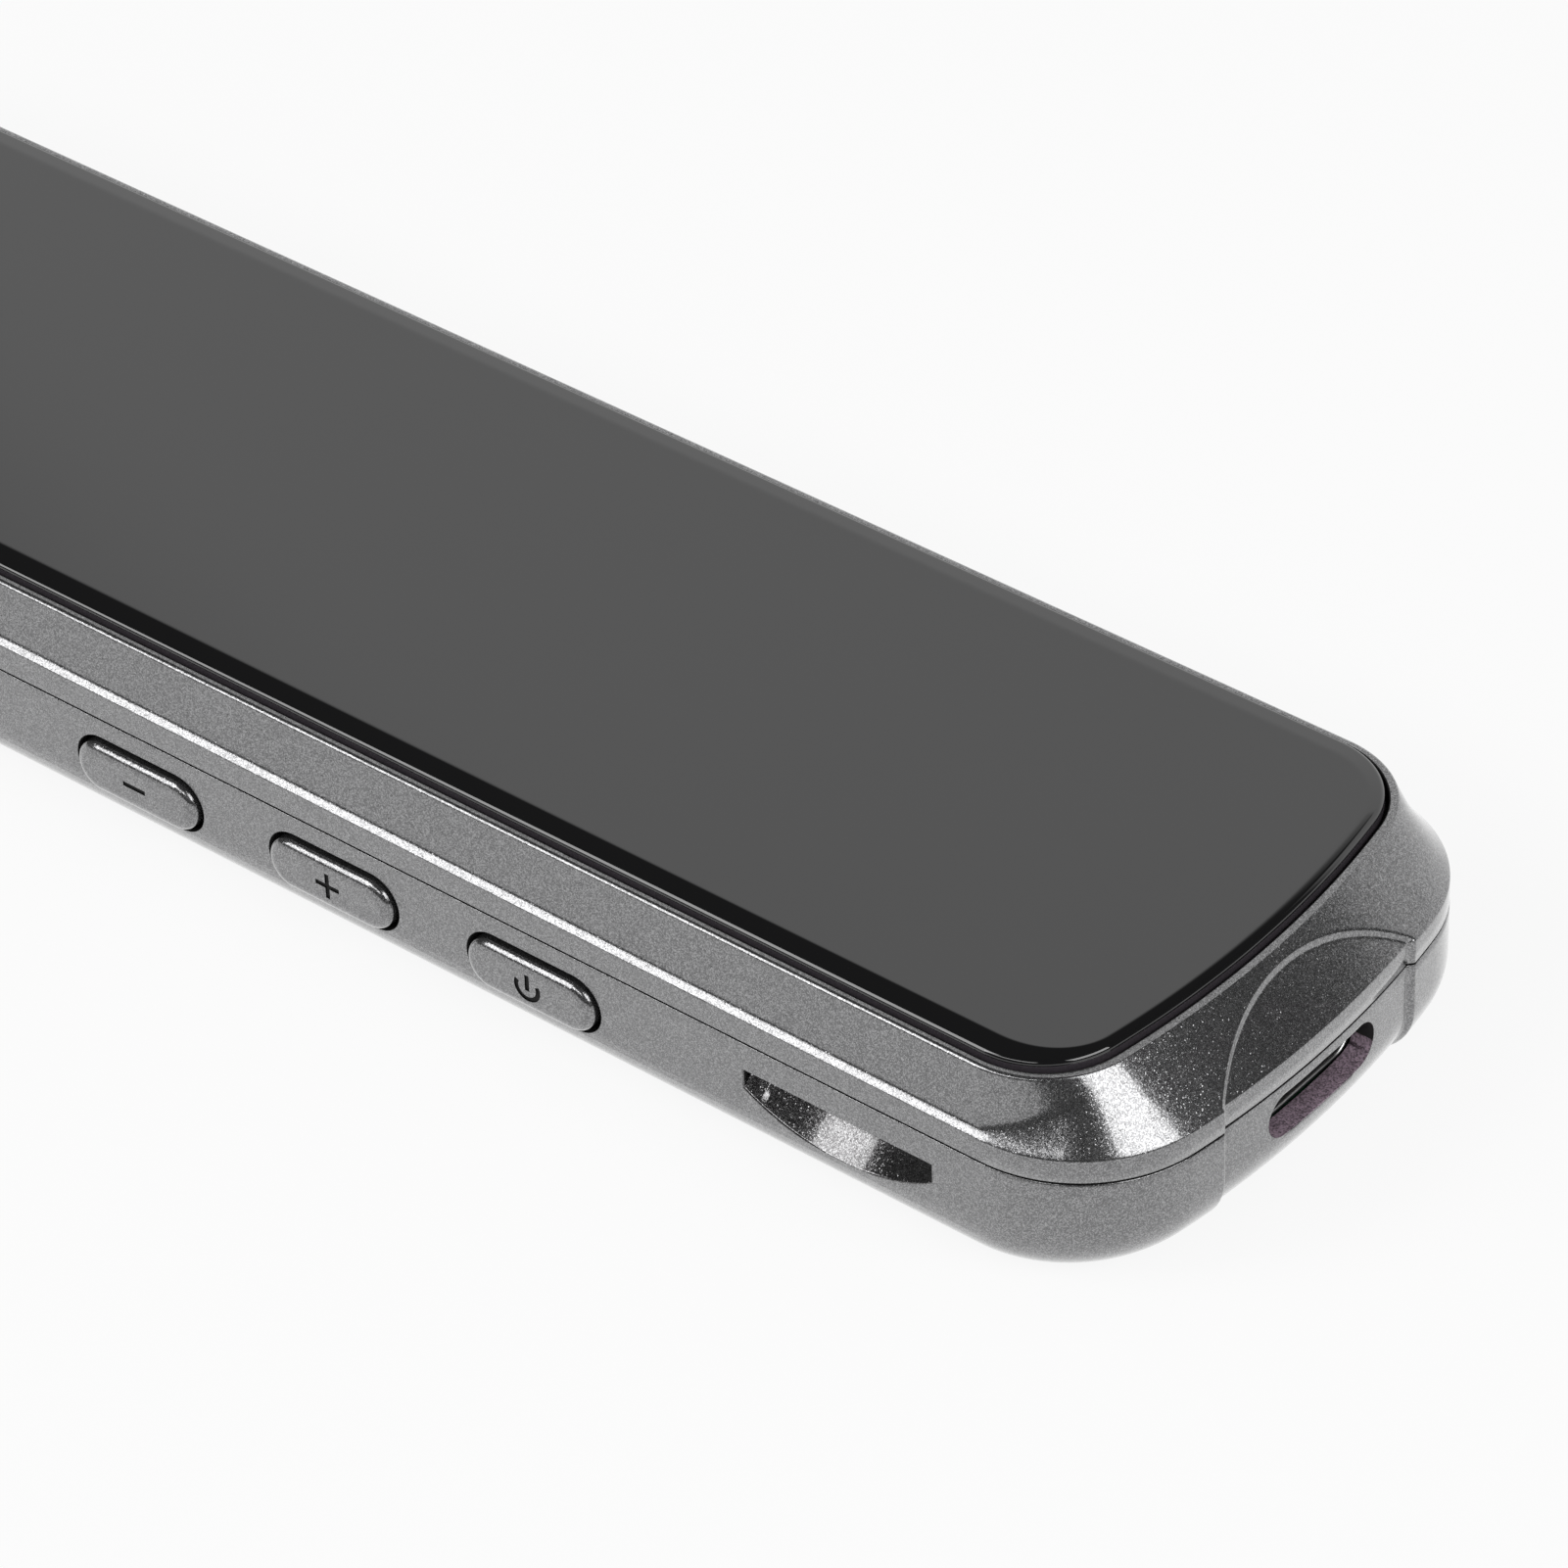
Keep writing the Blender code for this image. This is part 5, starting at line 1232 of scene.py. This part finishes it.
def make_socket(context):
    """The socket's metal shell, and the moulding with its tongue and contacts."""
    socket = context.scene.pen_socket
    wall = socket.shell_wall
    sections = []
    for turn in spaced(0, math.pi, 2 * ROLL_STEPS):
        grown = wall * (1 + math.cos(turn))
        x = SHELL_HIGH.x - wall / 2 + math.sin(turn) * wall / 2
        sections.append(socket_ring(socket.width + grown, socket.height + grown, x))
    sections.append(socket_ring(socket.width, socket.height, SHELL_LOW.x))
    sections.append(socket_ring(socket.width + 2 * wall, socket.height + 2 * wall, SHELL_LOW.x))
    shell = as_object("socket_shell", loft(sections, closed=True), FINISHES["steel"])
    finish_piece(shell, "case", "steel", "usb_shell")
    middle_z = (TONGUE_LOW.z + TONGUE_HIGH.z) / 2
    width, height = TONGUE_HIGH.y - TONGUE_LOW.y, TONGUE_HIGH.z - TONGUE_LOW.z
    base_rings = [socket_ring(width, height, x)
                  for x in (TONGUE_LOW.x, TONGUE_LOW.x + socket.base_length)]
    base = as_object("socket_tongue", loft(base_rings), FINISHES["black_plastic"])
    half_width, half_height = socket.tongue_width / 2, socket.tongue_thickness / 2
    start_x = TONGUE_LOW.x + socket.base_length / 2
    blade = block((start_x, -half_width, middle_z - half_height),
                  (TONGUE_HIGH.x, half_width, middle_z + half_height), socket.tongue_thickness / 8)
    combine(base, [as_object("blade", blade, FINISHES["black_plastic"])], "UNION")
    contacts = []
    proud = half_height + socket.contact_proud
    for number in range(CONTACTS):
        y = (number - (CONTACTS - 1) / 2) * socket.contact_pitch
        contact = block((start_x + socket.base_length, y - socket.contact_width / 2, middle_z - proud),
                        (TONGUE_HIGH.x - socket.base_length / 2, y + socket.contact_width / 2,
                         middle_z + proud))
        contacts.append(as_object("contact", contact, FINISHES["gold"]))
    combine(base, contacts, "UNION")
    finish_piece(base, "case", "black_plastic", "usb_tongue")


# Tip

def tip_ring(tip, x, inset, narrowing=0, thinning=0, slant=0):
    width = TIP_HIGH.y - TIP_LOW.y - 2 * (tip.gap + tip.ear + inset + narrowing)
    height = TIP_HIGH.z - TIP_LOW.z - 2 * thinning
    outline = rounded_rectangle(width, height - 2 * inset, tip.corner - inset)
    return [Vector((x - slant * up / height, across, TIP_MIDDLE + up)) for across, up in outline]


def tip_rings(tip, inset, overrun):
    """From the flange forward to the slanted mouth, drawn in by a smooth curve."""
    mouth_x = TIP_LOW.x + tip.slant / 2
    nose_x = CASE_LOW.x
    rings = [tip_ring(tip, TIP_HIGH.x + overrun, inset), tip_ring(tip, nose_x, inset)]
    for step in range(1, TIP_STEPS + 1):
        share = step / TIP_STEPS
        eased = share ** TIP_CURVE
        past_mouth = overrun if step == TIP_STEPS else 0
        x = nose_x + (mouth_x - past_mouth - nose_x) * share
        rings.append(tip_ring(tip, x, inset, tip.narrowing * eased, tip.thinning * eased,
                              tip.slant * share))
    return rings


def make_tip(context):
    tip = context.scene.pen_tip
    smoke = FINISHES["smoked_plastic"]
    outside = tip_rings(tip, 0, 0)
    rounded = [tip_ring(tip, TIP_LOW.x + tip.slant / 2 + tip.lip * math.cos(turn) - tip.lip,
                        tip.lip * (1 - math.sin(turn)), tip.narrowing, tip.thinning, tip.slant)
               for turn in spaced(math.pi / 2, 0, ROLL_STEPS)[1:]]
    # All rings but the two in the passage stand back by the mouth's rounding
    outside = [[point + Vector((tip.lip, 0, 0)) if number >= 2 else point for point in ring]
               for number, ring in enumerate(outside + rounded)]
    housing = as_object("tip_housing", loft(outside), smoke)
    half_height = (TIP_HIGH.z - TIP_LOW.z) / 2 - tip.corner
    ears = block((TIP_HIGH.x - tip.flange, TIP_LOW.y, TIP_MIDDLE - half_height),
                 (TIP_HIGH.x, TIP_HIGH.y, TIP_MIDDLE + half_height), EAR_BEVEL)
    combine(housing, [as_object("tip_ears", ears, smoke)], "UNION")
    bore = as_object("tip_bore", loft(tip_rings(tip, tip.wall, OVERRUN)), smoke)
    combine(housing, [bore], "DIFFERENCE")
    finish_piece(housing, "tip", "smoked_plastic", "scan_tip")


def dress_inner_parts():
    """Gives each node that is kept its finish from the record's own slots."""
    slots = {part["node"]: part["material_slot"] for part in frame["record"]["subparts"]}
    for name, node in frame["nodes"].items():
        if node.hide_render:
            continue
        node.data.materials.clear()
        node.data.materials.append(FINISHES[slots[name]])


# Stage

def camera_matrix(stage):
    """The camera's turn: its right and up lean by the roll round the line of sight."""
    flat = math.cos(stage.elevation)
    back = Vector((flat * math.sin(stage.azimuth), -flat * math.cos(stage.azimuth),
                   math.sin(stage.elevation)))
    right = (-back).cross(Vector((0, 0, 1))).normalized()
    up = right.cross(-back)
    leaning_right = math.cos(stage.roll) * right + math.sin(stage.roll) * up
    leaning_up = math.cos(stage.roll) * up - math.sin(stage.roll) * right
    turn = Matrix((leaning_right, leaning_up, back)).transposed().to_4x4()
    return Matrix.Translation(stage.eye) @ turn


def soft_box(stage, name):
    """A large soft light, placed by its bearing round the pen and its height."""
    bearing, height = getattr(stage, name + "_bearing"), getattr(stage, name + "_height")
    width, tall = getattr(stage, name + "_width"), getattr(stage, name + "_tall")
    towards = Vector((math.cos(height) * math.sin(bearing), -math.cos(height) * math.cos(bearing),
                      math.sin(height)))
    light = bpy.data.lights.new(name + "_soft_box", "AREA")
    light.shape = "RECTANGLE"
    light.size = width
    light.size_y = tall
    light.energy = stage.radiance * math.pi * width * tall
    lamp = bpy.data.objects.new(name + "_soft_box", light)
    lamp.location = Vector((CASE_HIGH.x / 2, 0, 0)) + towards * stage.light_distance
    lamp.rotation_euler = towards.to_track_quat("Z", "Y").to_euler()
    bpy.context.scene.collection.objects.link(lamp)


def room_light(stage):
    """A pale back and floor for reflections, a darker front and ceiling, and white for the camera."""
    world = bpy.data.worlds.new("studio")
    bpy.context.scene.world = world
    world.use_nodes = True
    background = world.node_tree.nodes["Background"]
    source = add_node(world, "ShaderNodeTexCoord")
    parts = add_node(world, "ShaderNodeSeparateXYZ")
    wire(world, source, "Generated", parts, "Vector")
    below = add_node(world, "ShaderNodeMapRange",
                     {"From Min": stage.back_top, "From Max": stage.back_fade},
                     interpolation_type="SMOOTHSTEP")
    wire(world, parts, "Z", below, "Value")
    middle = (math.sin(stage.back_bearing), -math.cos(stage.back_bearing), 0)
    bearing = add_node(world, "ShaderNodeVectorMath", {1: middle}, operation="DOT_PRODUCT")
    wire(world, source, "Generated", bearing, 0)
    behind = add_node(world, "ShaderNodeMapRange",
                      {"From Min": stage.back_start, "From Max": stage.back_full},
                      interpolation_type="SMOOTHSTEP")
    wire(world, bearing, "Value", behind, "Value")
    pale = add_node(world, "ShaderNodeMath", operation="MULTIPLY")
    wire(world, below, "Result", pale, 0)
    wire(world, behind, "Result", pale, 1)
    ground = add_node(world, "ShaderNodeMath", {1: 0.0}, operation="LESS_THAN")
    wire(world, parts, "Z", ground, 0)
    lit = add_node(world, "ShaderNodeMath", operation="MAXIMUM")
    wire(world, pale, "Value", lit, 0)
    wire(world, ground, "Value", lit, 1)
    seen = add_node(world, "ShaderNodeMapRange", {"To Min": stage.dark_level, "To Max": 1.0})
    wire(world, lit, "Value", seen, "Value")
    path = add_node(world, "ShaderNodeLightPath")
    sharp = add_node(world, "ShaderNodeMath", operation="MAXIMUM")
    wire(world, path, "Is Glossy Ray", sharp, 0)
    wire(world, path, "Is Transmission Ray", sharp, 1)
    mirrored = add_node(world, "ShaderNodeMix", {"A": stage.fill_level})
    wire(world, sharp, "Value", mirrored, "Factor")
    wire(world, seen, "Result", mirrored, "B")
    shown = add_node(world, "ShaderNodeMix", {"B": 1.0})
    wire(world, path, "Is Camera Ray", shown, "Factor")
    wire(world, mirrored, "Result", shown, "A")
    wire(world, shown, "Result", background, "Strength")
    background.inputs["Color"].default_value = (1, 1, 1, 1)


def make_floor(stage):
    """A pale disc that is plain white but for a little shade near the pen."""
    form = bmesh.new()
    bmesh.ops.create_circle(form, cap_ends=True, radius=stage.floor_radius, segments=TABLE_SIDES)
    bmesh.ops.translate(form, vec=(0, 0, -stage.floor_drop), verts=form.verts)
    floor = as_object("table_disc", form)
    material, shader = new_finish("table", stage.floor, 0.9, Specular_IOR_Level=0.0)
    output = material.node_tree.nodes["Material Output"]
    glow = add_node(material, "ShaderNodeEmission", {"Color": (1, 1, 1, 1), "Strength": 1.0})
    path = add_node(material, "ShaderNodeLightPath")
    source = add_node(material, "ShaderNodeTexCoord")
    reach = add_node(material, "ShaderNodeVectorMath", operation="LENGTH")
    wire(material, source, "Object", reach, 0)
    fade = add_node(material, "ShaderNodeMapRange",
                    {"From Min": stage.floor_near, "From Max": stage.floor_far,
                     "To Min": stage.floor_share, "To Max": 1.0},
                    interpolation_type="SMOOTHSTEP")
    wire(material, reach, "Value", fade, "Value")
    diffuse = add_node(material, "ShaderNodeMath", {0: 1.0}, operation="SUBTRACT")
    wire(material, path, "Is Diffuse Ray", diffuse, 1)
    share = add_node(material, "ShaderNodeMath", operation="MULTIPLY")
    wire(material, fade, "Result", share, 0)
    wire(material, diffuse, "Value", share, 1)
    mixed = add_node(material, "ShaderNodeMixShader")
    wire(material, share, "Value", mixed, "Fac")
    wire(material, shader, "BSDF", mixed, 1)
    wire(material, glow, "Emission", mixed, 2)
    wire(material, mixed, "Shader", output, "Surface")
    floor.data.materials.append(material)


def make_stage(context):
    stage = context.scene.pen_stage
    camera = bpy.data.cameras.new("photo_camera")
    camera.lens = stage.lens
    camera.sensor_width = SENSOR_WIDTH
    camera.clip_start = CLIP_START
    camera.clip_end = CLIP_END
    camera.dof.use_dof = False
    holder = bpy.data.objects.new("photo_camera", camera)
    holder.matrix_world = camera_matrix(stage)
    context.scene.collection.objects.link(holder)
    context.scene.camera = holder
    context.scene.view_settings.view_transform = "Standard"
    for name in ("side", "end", "front"):
        soft_box(stage, name)
    room_light(stage)
    make_floor(stage)


class PEN_OT_prepare_finishes(Operator):
    """Makes the paint, glass, metal and plastic finishes"""
    bl_idname = "pen.prepare_finishes"
    bl_label = "Prepare finishes"

    def execute(self, context):
        prepare_finishes(context.scene.pen_finish)
        return {"FINISHED"}


class PEN_OT_lower_case(Operator):
    """Makes the painted lower case with its holes, strap slot and socket opening"""
    bl_idname = "pen.lower_case"
    bl_label = "Lower case"

    def execute(self, context):
        make_lower_case(context)
        return {"FINISHED"}


class PEN_OT_upper_frame(Operator):
    """Makes the painted upper frame with its ridge, shoulder, arch and lip"""
    bl_idname = "pen.upper_frame"
    bl_label = "Upper frame"

    def execute(self, context):
        make_upper_frame(context)
        return {"FINISHED"}


class PEN_OT_cover_glass(Operator):
    """Makes the cover glass with its leaning border"""
    bl_idname = "pen.cover_glass"
    bl_label = "Cover glass"

    def execute(self, context):
        make_cover_glass(context)
        return {"FINISHED"}


class PEN_OT_side_keys(Operator):
    """Makes the three side keys with their sunk signs"""
    bl_idname = "pen.side_keys"
    bl_label = "Side keys"

    def execute(self, context):
        for name in KEYS:
            make_key(context.scene.pen_keys, name)
        return {"FINISHED"}


class PEN_OT_socket(Operator):
    """Makes the USB socket's shell, tongue and contacts"""
    bl_idname = "pen.socket"
    bl_label = "USB socket"

    def execute(self, context):
        make_socket(context)
        return {"FINISHED"}


class PEN_OT_scan_tip(Operator):
    """Makes the sliding scanning tip"""
    bl_idname = "pen.scan_tip"
    bl_label = "Scanning tip"

    def execute(self, context):
        make_tip(context)
        return {"FINISHED"}


class PEN_OT_inner_parts(Operator):
    """Gives the boards, battery, screws and other kept nodes their finishes"""
    bl_idname = "pen.inner_parts"
    bl_label = "Inner parts"

    def execute(self, context):
        dress_inner_parts()
        return {"FINISHED"}


class PEN_OT_stage(Operator):
    """Sets up the camera, the soft boxes, the room light and the table"""
    bl_idname = "pen.stage"
    bl_label = "Stage"

    def execute(self, context):
        make_stage(context)
        return {"FINISHED"}


OPERATORS = (PEN_OT_prepare_finishes, PEN_OT_stage, PEN_OT_lower_case, PEN_OT_upper_frame,
             PEN_OT_cover_glass, PEN_OT_side_keys, PEN_OT_socket, PEN_OT_scan_tip, PEN_OT_inner_parts)


class PEN_PT_workshop(Panel):
    """Lists the steps that dress the pen"""
    bl_idname = "PEN_PT_workshop"
    bl_label = "Scanning pen"
    bl_space_type = "VIEW_3D"
    bl_region_type = "UI"
    bl_category = "Scanning pen"

    def draw(self, context):
        column = self.layout.column(align=True)
        for operator in OPERATORS:
            column.operator(operator.bl_idname)


CLASSES = (*SETTINGS.values(), *OPERATORS, PEN_PT_workshop)


def register():
    for item in CLASSES:
        bpy.utils.register_class(item)
    for name, group in SETTINGS.items():
        setattr(bpy.types.Scene, name, PointerProperty(type=group))


def unregister():
    for name in SETTINGS:
        delattr(bpy.types.Scene, name)
    for item in reversed(CLASSES):
        bpy.utils.unregister_class(item)


def main():
    register()
    bpy.ops.pen.prepare_finishes()
    bpy.ops.pen.stage()
    bpy.ops.pen.lower_case()
    bpy.ops.pen.upper_frame()
    bpy.ops.pen.cover_glass()
    bpy.ops.pen.side_keys()
    bpy.ops.pen.socket()
    bpy.ops.pen.scan_tip()
    bpy.ops.pen.inner_parts()


if __name__ == "__main__":
    main()
